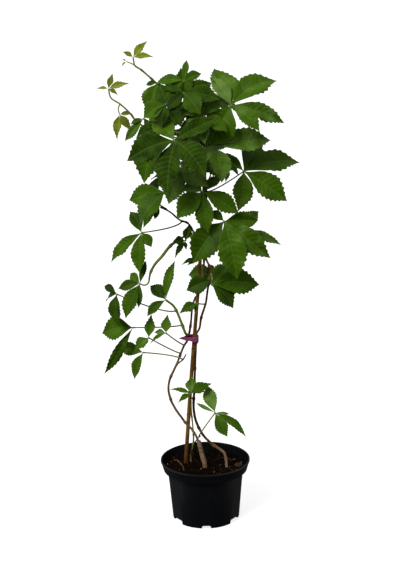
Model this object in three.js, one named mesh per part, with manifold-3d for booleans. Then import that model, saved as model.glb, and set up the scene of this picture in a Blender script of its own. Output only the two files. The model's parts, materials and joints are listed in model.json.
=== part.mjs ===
// A young Virginia creeper in a nursery pot, tied to a cane. Millimetres, +Z up.
// The origin is the middle of the pot's flat underside, and the side shown first faces -Y.
import * as THREE from 'three';
import { mergeVertices } from 'three/addons/utils/BufferGeometryUtils.js';
import Module from 'manifold-3d';

const wasm = await Module();
wasm.setup();

// Gap that touching pieces keep
const gap = 0.3;
const budGap = 0.4;

// Pot
const rimRadius = 86;
const potHeight = 118;
const collarDrop = 20;
const collarRadius = 81;
const bodyRadius = 73;
const footRadius = 64.5;
const rimLip = 2.8;
const rimWall = 2.6;
const edgeRound = 0.8;
const footRound = 1.5;
const wall = 1.8;
const floorThickness = 2;
const potSides = 32;
const channelInnerRadius = 30;
const narrowChannel = { width: 17, height: 6 };
const wideChannel = { width: 32, height: 8.5 };
const channelCorner = 3;
const drainRadius = 3.5;
const drainOrbit = 50;
const drainSides = 8;

// Soil
const soilLevel = 102;
const soilSides = 24;
const soilRoughness = 1.6;
const soilRings = [0.75, 0.4];
const soilSeed = 7;

// Cane
const canePoints = [[-44, 21, 25], [-24, 13, 280], [-5, 5, 490], [9, -1, 692]];
const caneRadius = 4;
const caneTopRadius = 3.1;
const caneJointSpacing = 118;
const caneJointSwelling = 1.12;
const caneSides = 8;

// Stems
const stemJointSwelling = 1.4;

// Leaves
const bladeThickness = 0.8;
const bladeWidth = 0.39;
const bladeArch = 0.12;
const bladeFold = 0.14;
const widestAt = 0.55;
const tipSlimness = 1.3;
const wedge = [0.1, 0.06];
const toothOut = 1.08;
const notchIn = 0.84;
const notchStep = 0.05;
const longBlade = 62;
const petioleRadius = 1.2;
const petioleEndRadius = 1;
const petioleSides = 4;
const petioleSteps = 3;
const petioleBend = 0.2;
const hubRadius = 2;
const bladeStart = 0.9;
const bladeStagger = 3.5;

// Tie
const tieLow = 357;
const tieWidth = 8;
const tieThickness = 0.9;

const materials = {
  pot: { color: 0x16171a, roughness: 0.4, metalness: 0 },
  soil: { color: 0x2a1a0c, roughness: 1, metalness: 0 },
  cane: { color: 0x9a662f, roughness: 0.6, metalness: 0 },
  bark: { color: 0x6b5138, roughness: 0.85, metalness: 0 },
  shoot: { color: 0x7d8440, roughness: 0.6, metalness: 0 },
  leaf: { color: 0x35610f, roughness: 0.5, metalness: 0 },
  youngLeaf: { color: 0x7f8a20, roughness: 0.5, metalness: 0 },
  tie: { color: 0xa0406f, roughness: 0.5, metalness: 0 },
};

const group = new THREE.Group();

// Seeded random numbers from 0 to 1

function seededRandom(seed) {
  let state = seed;
  return () => {
    state = (state * 1664525 + 1013904223) % 4294967296;
    return state / 4294967296;
  };
}

// Solids

function toSolid(geometry) {
  const bare = geometry.clone();
  bare.deleteAttribute('normal');
  bare.deleteAttribute('uv');
  const merged = mergeVertices(bare, 1e-4);
  const vertProperties = new Float32Array(merged.attributes.position.array);
  const triVerts = new Uint32Array(merged.index.array);
  return new wasm.Manifold(new wasm.Mesh({ numProp: 3, vertProperties, triVerts }));
}

function toGeometry(solid) {
  const mesh = solid.getMesh();
  const geometry = new THREE.BufferGeometry();
  geometry.setAttribute('position', new THREE.Float32BufferAttribute(mesh.vertProperties, 3));
  geometry.setIndex([...mesh.triVerts]);
  geometry.computeVertexNormals();
  return geometry;
}

function fuse(solids) {
  return solids.reduce((whole, piece) => whole.add(piece));
}

function place(name, solid, material) {
  const mesh = new THREE.Mesh(toGeometry(solid), new THREE.MeshStandardMaterial(materials[material]));
  mesh.name = name;
  group.add(mesh);
}

// Curves and tubes

function curveThrough(points) {
  const vectors = points.map((point) => new THREE.Vector3(...point));
  return new THREE.CatmullRomCurve3(vectors, false, 'centripetal');
}

function regularPolygon(sides) {
  const shape = new THREE.Shape();
  for (let i = 0; i < sides; i += 1) {
    const angle = (2 * Math.PI * i) / sides;
    const x = Math.cos(angle);
    const y = Math.sin(angle);
    if (i === 0) shape.moveTo(x, y);
    else shape.lineTo(x, y);
  }
  return shape;
}

// A tube whose radius follows radiusAt(fraction along the curve)
function tube(curve, sides, steps, radiusAt) {
  const options = { steps, extrudePath: curve, bevelEnabled: false };
  const geometry = new THREE.ExtrudeGeometry(regularPolygon(sides), options);
  const centres = curve.getSpacedPoints(steps);
  const position = geometry.attributes.position;
  const vertex = new THREE.Vector3();
  for (let i = 0; i < position.count; i += 1) {
    vertex.fromBufferAttribute(position, i);
    let nearest = 0;
    centres.forEach((centre, j) => {
      if (centre.distanceTo(vertex) < centres[nearest].distanceTo(vertex)) nearest = j;
    });
    vertex.sub(centres[nearest]).multiplyScalar(radiusAt(nearest / steps)).add(centres[nearest]);
    position.setXYZ(i, vertex.x, vertex.y, vertex.z);
  }
  return toSolid(geometry);
}

// A stem with a swollen ring at each of its growth joints

function stem(points, baseRadius, topRadius, steps, sides = 6, joints = []) {
  const curve = curveThrough(points);
  const radiusAt = (t) => {
    const swollen = joints.some((joint) => Math.abs(t - joint) < 0.5 / steps);
    return THREE.MathUtils.lerp(baseRadius, topRadius, t) * (swollen ? stemJointSwelling : 1);
  };
  const solid = tube(curve, sides, steps, radiusAt);
  return { curve, points, radiusAt, solid, steps, sides };
}

// The hole that a stem stands in

function socket(grown) {
  const points = grown.points.map((point) => [...point]);
  points[0][2] -= gap;
  return tube(curveThrough(points), grown.sides, grown.steps, (t) => grown.radiusAt(t) + 2 * gap);
}

// Where a stalk leaves a stem at the given height, and which way it points

function budOn(grown, height, towards) {
  let fraction = 0;
  while (fraction < 1 && grown.curve.getPointAt(fraction).z < height) fraction += 0.005;
  fraction = Math.min(fraction, 1);
  const centre = grown.curve.getPointAt(fraction);
  const along = grown.curve.getTangentAt(fraction);
  const outward = new THREE.Vector3(...towards).sub(centre);
  outward.addScaledVector(along, -outward.dot(along)).normalize();
  const reach = grown.radiusAt(fraction) + budGap;
  return { start: centre.clone().addScaledVector(outward, reach), outward };
}

// Leaf blades

function halfWidthAt(t) {
  const basePower = (tipSlimness * widestAt) / (1 - widestAt);
  const peak = widestAt ** basePower * (1 - widestAt) ** tipSlimness;
  return (t ** basePower * (1 - t) ** tipSlimness) / peak;
}

// The toothed edge of one side, from base to tip, as [fraction along, half width]

function toothedEdge(teeth) {
  const first = 0.36;
  const last = 0.83;
  const edge = [wedge];
  for (let i = 0; i < teeth; i += 1) {
    const t = first + ((last - first) * i) / (teeth - 1);
    edge.push([t, halfWidthAt(t) * toothOut]);
    if (i < teeth - 1) edge.push([t + notchStep, halfWidthAt(t + notchStep) * notchIn]);
  }
  return edge;
}

// One blade: it points along X, its face looks along Z, it droops to its tip and folds along its rib

function blade(length, width) {
  const teeth = length > longBlade ? 3 : 2;
  const ribStops = length > longBlade ? [0.34, 0.68] : [0.5];
  const edge = toothedEdge(teeth);
  const halfWidth = (length * width) / 2;
  const top = [];
  const add = (t, y) => {
    top.push([t * length, y, bladeFold * Math.abs(y) - bladeArch * length * t * t]);
    return top.length - 1;
  };
  const base = add(0, 0);
  const rib = [base, ...ribStops.map((t) => add(t, 0))];
  const left = [base, ...edge.map(([t, h]) => add(t, h * halfWidth))];
  const right = [base, ...edge.map(([t, h]) => add(t, -h * halfWidth))];
  const tip = add(1, 0);
  [rib, left, right].forEach((chain) => chain.push(tip));

  const triangles = [];
  const fill = (side, flip) => {
    let i = 1;
    let j = 1;
    const face = (a, b, c) => triangles.push(flip ? [a, c, b] : [a, b, c]);
    face(base, rib[1], side[1]);
    while (i < rib.length - 2 || j < side.length - 2) {
      const ribNext = i < rib.length - 2 ? top[rib[i + 1]][0] : Infinity;
      const sideNext = j < side.length - 2 ? top[side[j + 1]][0] : Infinity;
      if (ribNext < sideNext) {
        face(rib[i], rib[i + 1], side[j]);
        i += 1;
      } else {
        face(rib[i], side[j + 1], side[j]);
        j += 1;
      }
    }
    face(rib[i], tip, side[j]);
  };
  fill(left, false);
  fill(right, true);

  const count = top.length;
  const position = [...top, ...top.map(([x, y, z]) => [x, y, z - bladeThickness])].flat();
  const index = [];
  triangles.forEach(([a, b, c]) => index.push(a, b, c, a + count, c + count, b + count));
  const loop = [...right, ...left.slice(1, -1).reverse()];
  loop.forEach((a, k) => {
    const b = loop[(k + 1) % loop.length];
    index.push(a + count, b + count, b, a + count, b, a);
  });
  const geometry = new THREE.BufferGeometry();
  geometry.setAttribute('position', new THREE.Float32BufferAttribute(position, 3));
  geometry.setIndex(index);
  return geometry;
}

// The way a leaf's face looks: tilt is up from level, turn is to the right of straight ahead

function faceNormal(tilt, turn) {
  const up = THREE.MathUtils.degToRad(tilt);
  const aside = THREE.MathUtils.degToRad(turn);
  return new THREE.Vector3(
    Math.sin(aside) * Math.cos(up),
    -Math.cos(aside) * Math.cos(up),
    Math.sin(up),
  );
}

// A blade's direction in the leaf's plane, from its angle as seen from the front

function alongFromFront(normal, angle) {
  const along = new THREE.Vector3(Math.cos(angle), 0, Math.sin(angle));
  along.y = -(normal.x * along.x + normal.z * along.z) / normal.y;
  return along;
}

// The same from its angle to the leaf's downhill direction, measured in the plane

function alongFromDownhill(normal, angle) {
  const downhill = new THREE.Vector3(0, 0, -1);
  downhill.addScaledVector(normal, -downhill.dot(normal)).normalize();
  return downhill.applyAxisAngle(normal, angle);
}

// The blades of one leaf round its hub, each given by [angle, reach, width to length, lift].
// Neighbours lie alternately a little above and below the leaf's plane.

function blades(hub, bladeList, options = {}) {
  const { tilt = 30, turn = 0, direction = alongFromFront } = options;
  const normal = faceNormal(tilt, turn);
  const sorted = [...bladeList].sort((one, other) => one[0] - other[0]);
  return sorted.map(([angle, reach, share = bladeWidth, lift = 0], i) => {
    const along = direction(normal, THREE.MathUtils.degToRad(angle));
    const length = reach * along.length();
    along.normalize();
    const hinge = along.clone().cross(normal).normalize();
    along.applyAxisAngle(hinge, THREE.MathUtils.degToRad(lift + (i % 2 ? -bladeStagger : bladeStagger)));
    const across = normal.clone().cross(along).normalize();
    const up = along.clone().cross(across);
    const geometry = blade(length - bladeStart, share);
    geometry.applyMatrix4(new THREE.Matrix4().makeBasis(along, across, up));
    const root = new THREE.Vector3(...hub).addScaledVector(along, bladeStart);
    geometry.translate(root.x, root.y, root.z);
    return toSolid(geometry);
  });
}

function bead(point, radius) {
  const geometry = new THREE.OctahedronGeometry(radius);
  geometry.translate(...point);
  return toSolid(geometry);
}

// A stalk from a stem's bud to a leaf's hub

function petiole(bud, hub) {
  const end = new THREE.Vector3(...hub);
  const span = end.distanceTo(bud.start);
  const bend = bud.start.clone().addScaledVector(bud.outward, span * petioleBend);
  const curve = new THREE.QuadraticBezierCurve3(bud.start, bend, end);
  const radiusAt = (t) => THREE.MathUtils.lerp(petioleRadius, petioleEndRadius, t);
  return tube(curve, petioleSides, petioleSteps, radiusAt);
}

// The blades of one leaf with the bead that joins them

function tuft(hub, bladeList, options) {
  return [bead(hub, hubRadius), ...blades(hub, bladeList, options)];
}

function leaf(name, grown, height, hub, bladeList, options) {
  const bud = budOn(grown, height, hub);
  place(name, fuse([petiole(bud, hub), ...tuft(hub, bladeList, options)]), 'leaf');
}

// The five blades of a leaf by rule: a long middle one downhill and two shorter pairs

function hand(reach, spread = 52) {
  return [[0, reach], [spread, reach * 0.9], [-spread, reach * 0.9],
    [2 * spread, reach * 0.62], [-2 * spread, reach * 0.62]];
}

// Pot

function lathe(profile, sides) {
  const points = profile.map(([radius, height]) => new THREE.Vector2(radius, height));
  const geometry = new THREE.LatheGeometry(points, sides);
  geometry.rotateX(Math.PI / 2);
  return toSolid(geometry);
}

const collarLow = potHeight - collarDrop;

function potOuterProfile() {
  return [
    [0, 0], [footRadius - footRound, 0], [footRadius, footRound], [bodyRadius, collarLow],
    [collarRadius - edgeRound, collarLow + edgeRound / 2], [collarRadius, collarLow + 2 * edgeRound],
    [rimRadius - edgeRound, potHeight - rimLip - edgeRound], [rimRadius, potHeight - rimLip],
    [rimRadius, potHeight - edgeRound], [rimRadius - edgeRound, potHeight],
  ];
}

// The inner face, set in by the given margin

function potInnerProfile(margin) {
  return [
    [rimRadius - rimWall - margin, potHeight], [collarRadius - wall - margin, collarLow + wall],
    [bodyRadius - wall - margin, collarLow - wall - margin],
    [footRadius - wall - margin, floorThickness + margin], [0, floorThickness + margin],
  ];
}

// A channel under the floor, from near the middle out through the wall, grown by the given skin

function channel(size, angle, skin, reach) {
  const half = size.width / 2 + skin;
  const height = size.height + skin;
  const below = -1;
  const shape = new THREE.Shape();
  shape.moveTo(-half, below);
  shape.lineTo(half, below);
  shape.lineTo(half, height - channelCorner);
  shape.lineTo(half - channelCorner, height);
  shape.lineTo(channelCorner - half, height);
  shape.lineTo(-half, height - channelCorner);
  const length = reach - channelInnerRadius + skin;
  const geometry = new THREE.ExtrudeGeometry(shape, { depth: length, bevelEnabled: false });
  geometry.rotateX(Math.PI / 2);
  geometry.translate(0, skin - channelInnerRadius, 0);
  geometry.rotateZ(angle);
  return toSolid(geometry);
}

function eachChannel(make) {
  return Array.from({ length: 6 }, (_, i) => make(i % 2 ? wideChannel : narrowChannel, (i * Math.PI) / 3));
}

function makePot() {
  const shell = lathe([...potOuterProfile(), ...potInnerProfile(0)], potSides);
  const filled = lathe([...potOuterProfile(), [0, potHeight]], potSides);
  const roofs = fuse(eachChannel((size, angle) => channel(size, angle, wall, rimRadius)));
  const channels = fuse(eachChannel((size, angle) => channel(size, angle, 0, rimRadius)));
  const drains = fuse(eachChannel((size, angle) => {
    const geometry = new THREE.CylinderGeometry(drainRadius, drainRadius, collarDrop, drainSides);
    geometry.rotateX(Math.PI / 2);
    geometry.translate(0, -drainOrbit, 0);
    geometry.rotateZ(angle);
    return toSolid(geometry);
  }));
  return shell.add(roofs.intersect(filled)).subtract(channels).subtract(drains);
}

// Soil

function makeSoil(standing) {
  const inner = potInnerProfile(gap).reverse();
  const [lowCollar, rim] = [inner[3], inner[4]];
  const share = (soilLevel - lowCollar[1]) / (rim[1] - lowCollar[1]);
  const edge = THREE.MathUtils.lerp(lowCollar[0], rim[0], share);
  const profile = [...inner.slice(0, 4), [edge, soilLevel]];
  soilRings.forEach((fraction) => profile.push([edge * fraction, soilLevel]));
  profile.push([0, soilLevel]);
  const points = profile.map(([radius, height]) => new THREE.Vector2(radius, height));
  const geometry = new THREE.LatheGeometry(points, soilSides);
  geometry.rotateX(Math.PI / 2);
  geometry.deleteAttribute('normal');
  geometry.deleteAttribute('uv');
  const merged = mergeVertices(geometry, 1e-3);
  const random = seededRandom(soilSeed);
  const position = merged.attributes.position;
  for (let i = 0; i < position.count; i += 1) {
    const radius = Math.hypot(position.getX(i), position.getY(i));
    const onTop = position.getZ(i) > soilLevel - 0.01 && radius < edge - 1;
    if (onTop) position.setZ(i, soilLevel + (random() - 0.5) * 2 * soilRoughness);
  }
  const roofs = fuse(eachChannel((size, angle) => channel(size, angle, wall + gap, rimRadius)));
  const holes = fuse(standing.map(socket));
  return toSolid(merged).subtract(roofs).subtract(holes);
}

// Cane

function makeCane() {
  const curve = curveThrough(canePoints);
  const joints = Math.floor(curve.getLength() / caneJointSpacing);
  const steps = joints * 3;
  const radiusAt = (t) => {
    const nearJoint = Math.round(t * steps) % 3 === 1;
    return THREE.MathUtils.lerp(caneRadius, caneTopRadius, t) * (nearJoint ? caneJointSwelling : 1);
  };
  const solid = tube(curve, caneSides, steps, radiusAt);
  return { curve, points: canePoints, radiusAt, solid, steps, sides: caneSides };
}

// Tie: a band round the cane and both stems, with one loose end

function makeTie() {
  const around = [
    [-34, -1], [-28, -3.5], [-14, -3.5], [-10.5, 0], [-10, 9], [-14, 15], [-22, 15.5], [-34, 5],
  ];
  const outlineAt = (offset) => {
    const middle = new THREE.Vector2(-20.5, 5);
    return around.map(([x, y]) => {
      const point = new THREE.Vector2(x, y);
      const outward = point.clone().sub(middle).normalize();
      return point.addScaledVector(outward, offset);
    });
  };
  const shape = new THREE.Shape(outlineAt(tieThickness));
  shape.holes.push(new THREE.Path(outlineAt(0).reverse()));
  const band = new THREE.ExtrudeGeometry(shape, { depth: tieWidth, bevelEnabled: false });
  band.translate(0, 0, tieLow);
  const tail = new THREE.Shape([
    new THREE.Vector2(0, 1.5), new THREE.Vector2(-12, 4), new THREE.Vector2(0, tieWidth - 1),
  ]);
  const end = new THREE.ExtrudeGeometry(tail, { depth: tieThickness, bevelEnabled: false });
  end.rotateX(Math.PI / 2);
  end.translate(-33.8, 1.5, tieLow);
  return toSolid(band).add(toSolid(end));
}

// Stems

const mainStem = stem([
  [1, -5, 72], [-1, -5, 105], [-7, -5, 132], [-12, -5, 152], [-15, -5, 162], [-19, -3, 170],
  [-27, 0, 181], [-36, 2, 190], [-45, 3, 203], [-56, 3, 220], [-64, 2, 239], [-68, 2, 260],
  [-65, 2, 279], [-58, 2, 295], [-51, 2, 310], [-42, 2, 333], [-37, 2, 345], [-29, 2, 358],
  [-25.5, 2, 374], [-22, 4, 397], [-20, 8, 417], [-15, 14, 433], [-6, 16, 445], [0, 12, 457], [3, 8, 480],
  [4, 8, 530], [4, 9, 600], [-1, 10, 650], [-14, 10, 700], [-29, 8, 750], [-42, 5, 790], [-54, 3, 816],
], 2.4, 1.5, 48, 6, [0.235, 0.352, 0.43, 0.6, 0.72]);
const stump = stem([[1, -5, 72], [-1, -5, 105], [-7, -5, 132], [-12, -5, 156]], 5, 3.9, 5, 8);
const forkBranch = stem([[-53, 2, 305], [-47, 0, 313], [-39, -3, 320], [-33, -4, 331]], 1.6, 1.2, 4, 5);
const teeBranch = stem([
  [4, 8, 542], [0, 12, 549], [-8, 12, 556], [-15, 6, 566], [-19, -1, 576], [-26, -4, 585], [-39, -8, 591],
  [-57, -14, 608], [-74, -19, 618],
], 1.7, 1.1, 10, 5, [0.5]);

const rightStem = stem([
  [42, -5, 72], [41, -5, 105], [39, -5, 123], [36, -5, 131], [27, -5, 139], [13, -4, 149], [5, -3, 157],
  [-4, 0, 167], [-10, 3, 177], [-16, 4, 191], [-19, 5, 205], [-20.5, 5, 219], [-20.5, 5, 233], [-19, 5, 250],
  [-17, 4, 290], [-15, 3, 330], [-13.5, 3, 352], [-13, 3, 368], [-7, 0, 380], [-3, -1, 402], [2, -2, 418],
  [6, -3, 431], [10, -3, 457], [16, -3, 485], [18, -3, 495], [10, -4, 510], [7, -6, 524], [8, -8, 560],
  [10, -9, 600], [10, -9, 640], [8, -9, 680], [2, -6, 730], [2, -5, 770], [6, -5, 800],
], 2.7, 1.5, 50, 6, [0.25, 0.467, 0.565]);

const smallStem = stem([
  [-28, 20, 75], [-28, 19, 105], [-27, 17, 122], [-23, 13, 140], [-22, 9, 160], [-23, 7, 182], [-25, -2, 215],
  [-25, -18, 250],
], 2.1, 1.1, 10, 6, [0.5]);
const smallBranch = stem([[-23, 13, 141], [-17, 9, 151], [-9, 5, 163]], 1.3, 1.1, 3, 5);

const cutStub = stem([[60, -5, 80], [64, -5, 107]], 7, 7, 1, 10);

// Put together

const cane = makeCane();
place('pot', makePot(), 'pot');
place('soil', makeSoil([cane, stump, rightStem, smallStem, cutStub]), 'soil');
place('cane', cane.solid, 'cane');
place('tie', makeTie(), 'tie');
place('stem_main', fuse([stump.solid, mainStem.solid, forkBranch.solid, teeBranch.solid]), 'bark');
place('stem_right', rightStem.solid, 'bark');
place('stem_small', fuse([smallStem.solid, smallBranch.solid]), 'bark');
place('stem_cut_stub', cutStub.solid, 'bark');

// Leaves on the woody stems, from the crown down: stem, height of the bud, hub, then the blades

leaf('leaf_crown_top', mainStem, 790, [-26, -30, 848],
  [[81, 40, 0.32], [177, 50, 0.34], [22, 32, 0.5], [215, 34, 0.39]], { tilt: 25 });
leaf('leaf_crown_top_front', rightStem, 780, [-27, -50, 828],
  [[357, 62, 0.5], [310, 40, 0.6], [215, 36, 0.5], [162, 35, 0.39]], { tilt: 45 });
leaf('leaf_crown_top_left', mainStem, 800, [-72, -20, 844],
  [[244, 48, 0.6], [290, 42, 0.55], [190, 23, 0.39]], { tilt: 30, turn: -15 });
leaf('leaf_crown_top_right', rightStem, 740, [57, -30, 803],
  [[100, 64, 0.6], [121, 60, 0.45, 8], [28, 94, 0.42], [343, 105, 0.36], [314, 64, 0.5],
    [238, 66, 0.66, -12]], { tilt: 35, turn: 15 });
leaf('leaf_crown_left', mainStem, 770, [-59, -56, 810],
  [[205, 44, 0.7], [250, 34, 0.6], [310, 40, 0.39], [52, 30, 0.39]], { tilt: 35, turn: -10 });
leaf('leaf_crown_left_small', mainStem, 755, [-99, -48, 784],
  [[226, 49, 0.28], [201, 25, 0.34], [298, 19, 0.39]], { tilt: 25, turn: -10 });
leaf('leaf_crown_left_low', mainStem, 735, [-71, -16, 760],
  [[193, 50, 0.52], [246, 88, 0.5], [132, 30, 0.39]], { tilt: 30, turn: -20 });
leaf('leaf_crown_inner_high', mainStem, 765, [-24, 32, 806],
  [[96, 56, 0.54], [138, 50, 0.54], [35, 56, 0.52], [-65, 56, 0.54], [236, 58, 0.54]], { tilt: 8 });
leaf('leaf_crown_inner_low', rightStem, 700, [6, 23, 718],
  [[78, 42, 0.55], [145, 62, 0.52], [15, 52, 0.52], [-60, 62, 0.5], [262, 55, 0.42]], { tilt: 8 });
leaf('leaf_crown_middle', rightStem, 735, [0, -56, 784],
  [[155, 45, 0.39], [207, 40, 0.5], [281, 36, 0.5], [343, 52, 0.5], [45, 55, 0.5], [100, 42, 0.5]],
  { tilt: 40 });
leaf('leaf_crown_front', mainStem, 715, [-44, -92, 751],
  [[200, 86, 0.5], [252, 75, 0.46], [318, 69, 0.52], [25, 80, 0.32], [131, 56, 0.5]],
  { tilt: 35, turn: -5 });
leaf('leaf_crown_right', rightStem, 690, [25, -45, 732],
  [[7, 105, 0.45], [289, 55, 0.59], [220, 42, 0.5], [116, 32, 0.56]], { tilt: 35, turn: 10 });
leaf('leaf_crown_low', mainStem, 680, [-38, -38, 704],
  [[255, 66, 0.5], [318, 60, 0.52], [84, 31, 0.39], [348, 44, 0.5]], { tilt: 30, turn: -10 });
leaf('leaf_right', rightStem, 642, [79, -5, 679],
  [[54, 64, 0.59], [10, 107, 0.34], [325, 92, 0.44], [270, 55, 0.51], [142, 57, 0.39]],
  { tilt: 35, turn: 20 });
leaf('leaf_middle_front', rightStem, 600, [4, -60, 653],
  [[219, 58, 0.55], [274, 59, 0.4], [330, 67, 0.42], [163, 41, 0.5], [35, 42, 0.39]], { tilt: 35 });
leaf('leaf_middle_left', mainStem, 610, [-64, -50, 652],
  [[192, 71, 0.47], [225, 67, 0.58, 6], [110, 30, 0.39]], { tilt: 35, turn: -20 });
leaf('leaf_front', rightStem, 555, [41, -65, 600],
  [[229, 86, 0.58], [283, 98, 0.51], [317, 105, 0.38, 7], [355, 63, 0.53], [146, 34, 0.59]],
  { tilt: 25, turn: 10 });
leaf('leaf_right_slim', rightStem, 530, [71, -15, 570],
  [[341, 81, 0.19], [300, 40, 0.39], [36, 47, 0.41]], { tilt: 30, turn: 20 });
leaf('leaf_left', teeBranch, 589, [-110, -10, 569],
  [[217, 80, 0.29], [260, 65, 0.37], [310, 26, 0.56], [116, 42, 0.44]], { tilt: 25, turn: -20 });
leaf('leaf_left_tip', teeBranch, 612, [-76, -25, 624],
  [[231, 49, 0.27], [251, 25, 0.39, 8]], { tilt: 25, turn: -20 });
leaf('leaf_middle_small', teeBranch, 571, [-30, 0, 550],
  [[73, 30, 0.5], [184, 25, 0.6], [232, 36, 0.28], [270, 16, 0.39]], { tilt: 20, turn: -10 });
leaf('leaf_middle_slim', rightStem, 521, [-10, -14, 519],
  [[196, 29, 0.25], [218, 21, 0.26]], { tilt: 20 });
leaf('leaf_low_right', rightStem, 487, [17, -35, 474],
  [[357, 89, 0.46], [323, 54, 0.58], [39, 48, 0.53]], { tilt: 35, turn: 10 });
leaf('leaf_low_back', mainStem, 470, [24, 19, 479],
  [[176, 50, 0.6], [122, 23, 0.48]], { tilt: 20 });
leaf('leaf_low_cane', rightStem, 466, [18, -14, 477],
  [[200, 48, 0.6]], { tilt: 25 });
leaf('leaf_low_curled', rightStem, 428, [-9, -25, 436],
  [[202, 37, 0.45], [248, 16, 0.41]], { tilt: 20 });
leaf('leaf_lower_left_high', mainStem, 347, [-69, -32, 382],
  [[87, 32, 0.51], [181, 23, 0.48], [208, 36, 0.19]], { tilt: 20, turn: -10 });
leaf('leaf_lower_left_middle', mainStem, 330, [-102, -20, 370],
  [[83, 40, 0.4], [217, 36, 0.55], [240, 16, 0.39]], { tilt: 25, turn: -10 });
leaf('leaf_lower_left_low', forkBranch, 320, [-114, 5, 333],
  [[178, 47, 0.45], [239, 52, 0.36]], { tilt: 25, turn: -20 });
leaf('leaf_bottom', smallStem, 248, [-25, -28, 261],
  [[24, 42, 0.46], [86, 30, 0.6], [167, 40, 0.21], [207, 28, 0.34]], { tilt: 30 });
leaf('leaf_bottom_right', smallBranch, 162, [20, -40, 226],
  [[115, 46, 0.48], [151, 37, 0.39], [353, 27, 0.25], [331, 72, 0.32], [296, 40, 0.55]],
  { tilt: 35, turn: 10 });

// Leafy shoots: the shoot and the leaves that end it are one piece

function shootFrom(grown, height, points, baseRadius, topRadius, steps, joints = []) {
  const { start } = budOn(grown, height, points[0]);
  return stem([start.toArray(), ...points], baseRadius, topRadius, steps, 5, joints);
}

const shootTop = stem([
  [-54.4, 2.9, 817], [-61, 0, 828], [-78, -3, 843], [-96, -6, 860], [-104, -8, 867], [-113, -9, 873],
  [-116, -10, 888],
], 1.6, 1, 7, 5, [0.7]);
const tendril = stem([[-104, -8, 867], [-117, -9, 876], [-128, -10, 881]], 1, 0.6, 3, 4);
place('shoot_top', fuse([
  shootTop.solid,
  ...tuft([-116, -10, 888], [[53, 36, 0.31], [5, 32, 0.3], [149, 20, 0.34]], { tilt: 25, turn: -10 }),
  tendril.solid,
  ...tuft([-128, -10, 881], [[150, 9, 0.3], [220, 12, 0.3]], { tilt: 25, turn: -10 }),
]), 'youngLeaf');

const shootLeft = shootFrom(mainStem, 746, [
  [-60, 2, 748], [-88, 0, 755], [-115, 2, 774], [-125, 4, 787], [-143, 6, 804], [-159, 8, 815],
  [-163, 10, 831],
], 1.5, 1, 9, [0.6]);
const leftStalk = stem([[-143, 6, 804], [-146, 2, 796], [-144, 0, 786]], 1.1, 0.8, 3, 4);
place('shoot_left', fuse([
  shootLeft.solid,
  ...tuft([-163, 10, 831], [[75, 26, 0.32], [14, 34, 0.3], [335, 16, 0.36], [178, 20, 0.26]], { turn: -15 }),
  leftStalk.solid,
  ...tuft([-144, 0, 786], [[257, 42, 0.32], [304, 34, 0.36], [3, 23, 0.32]], { tilt: 20, turn: -10 }),
]), 'youngLeaf');

const shootMiddle = shootFrom(teeBranch, 556, [
  [-20, 20, 556], [-31, 20, 554], [-43, 18, 547], [-57, 12, 539], [-75, -10, 522], [-87, -12, 509],
  [-96, -14, 492], [-100, -17, 475], [-107, -21, 472], [-115, -25, 476],
], 1.8, 1.4, 13, [0.35]);
place('shoot_middle', fuse([
  shootMiddle.solid,
  ...tuft([-115, -25, 476],
    [[72, 40, 0.25], [143, 28, 0.5], [192, 42, 0.42], [237, 63, 0.4], [266, 36, 0.28]], { turn: -15 }),
]), 'youngLeaf');

const shootLow = shootFrom(mainStem, 367, [
  [-32, -8, 372], [-40, -12, 395], [-53, -16, 428], [-68, -28, 445],
], 1.7, 1.2, 7);
place('shoot_low', fuse([
  shootLow.solid,
  ...tuft([-68, -28, 445], [[81, 69, 0.22], [138, 40, 0.5], [218, 45, 0.35]],
    { tilt: 20, turn: -10 }),
]), 'shoot');
leaf('leaf_lower_left_tip', shootLow, 420, [-160, 0, 450],
  [[157, 31, 0.34], [192, 27, 0.56], [262, 52, 0.54]], { tilt: 25, turn: -30 });
leaf('leaf_lower_left', shootLow, 391, [-132, 4, 383],
  [[190, 63, 0.6], [236, 95, 0.17]], { tilt: 30, turn: -15 });

// Leaves round the back of the crown, by rule

const backLeaves = 5;
const backLowest = 660;
const backSpacing = 38;
const backAside = [42, -42, 0];
const backOut = [82, 70, 58];
const backReach = 60;
const backRise = 40;
for (let i = 0; i < backLeaves; i += 1) {
  const azimuth = 90 + backAside[i % 3];
  const radians = THREE.MathUtils.degToRad(azimuth);
  const out = backOut[i % 3];
  const hub = [out * Math.cos(radians) - 15, out * Math.sin(radians), backLowest + backSpacing * i];
  const grown = i % 3 === 1 ? rightStem : mainStem;
  const options = { tilt: 40, turn: azimuth + 90, direction: alongFromDownhill };
  leaf(`leaf_back_${i + 1}`, grown, hub[2] - backRise, hub, hand(backReach), options);
}

export default group;
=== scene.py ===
"""A young Virginia creeper tied to a cane in a nursery pot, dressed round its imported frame.

Lengths are in millimetres unless a docstring says metres, and MM turns them to metres.
"""

import ast
import json
import logging
import math
import random
from dataclasses import dataclass, replace
from enum import Enum

import bmesh
import bpy
from bpy.types import Material, Mesh, Node, NodeOutputs, NodeSocket, NodeTree, Object
from mathutils import Matrix, Quaternion, Vector, noise

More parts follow.
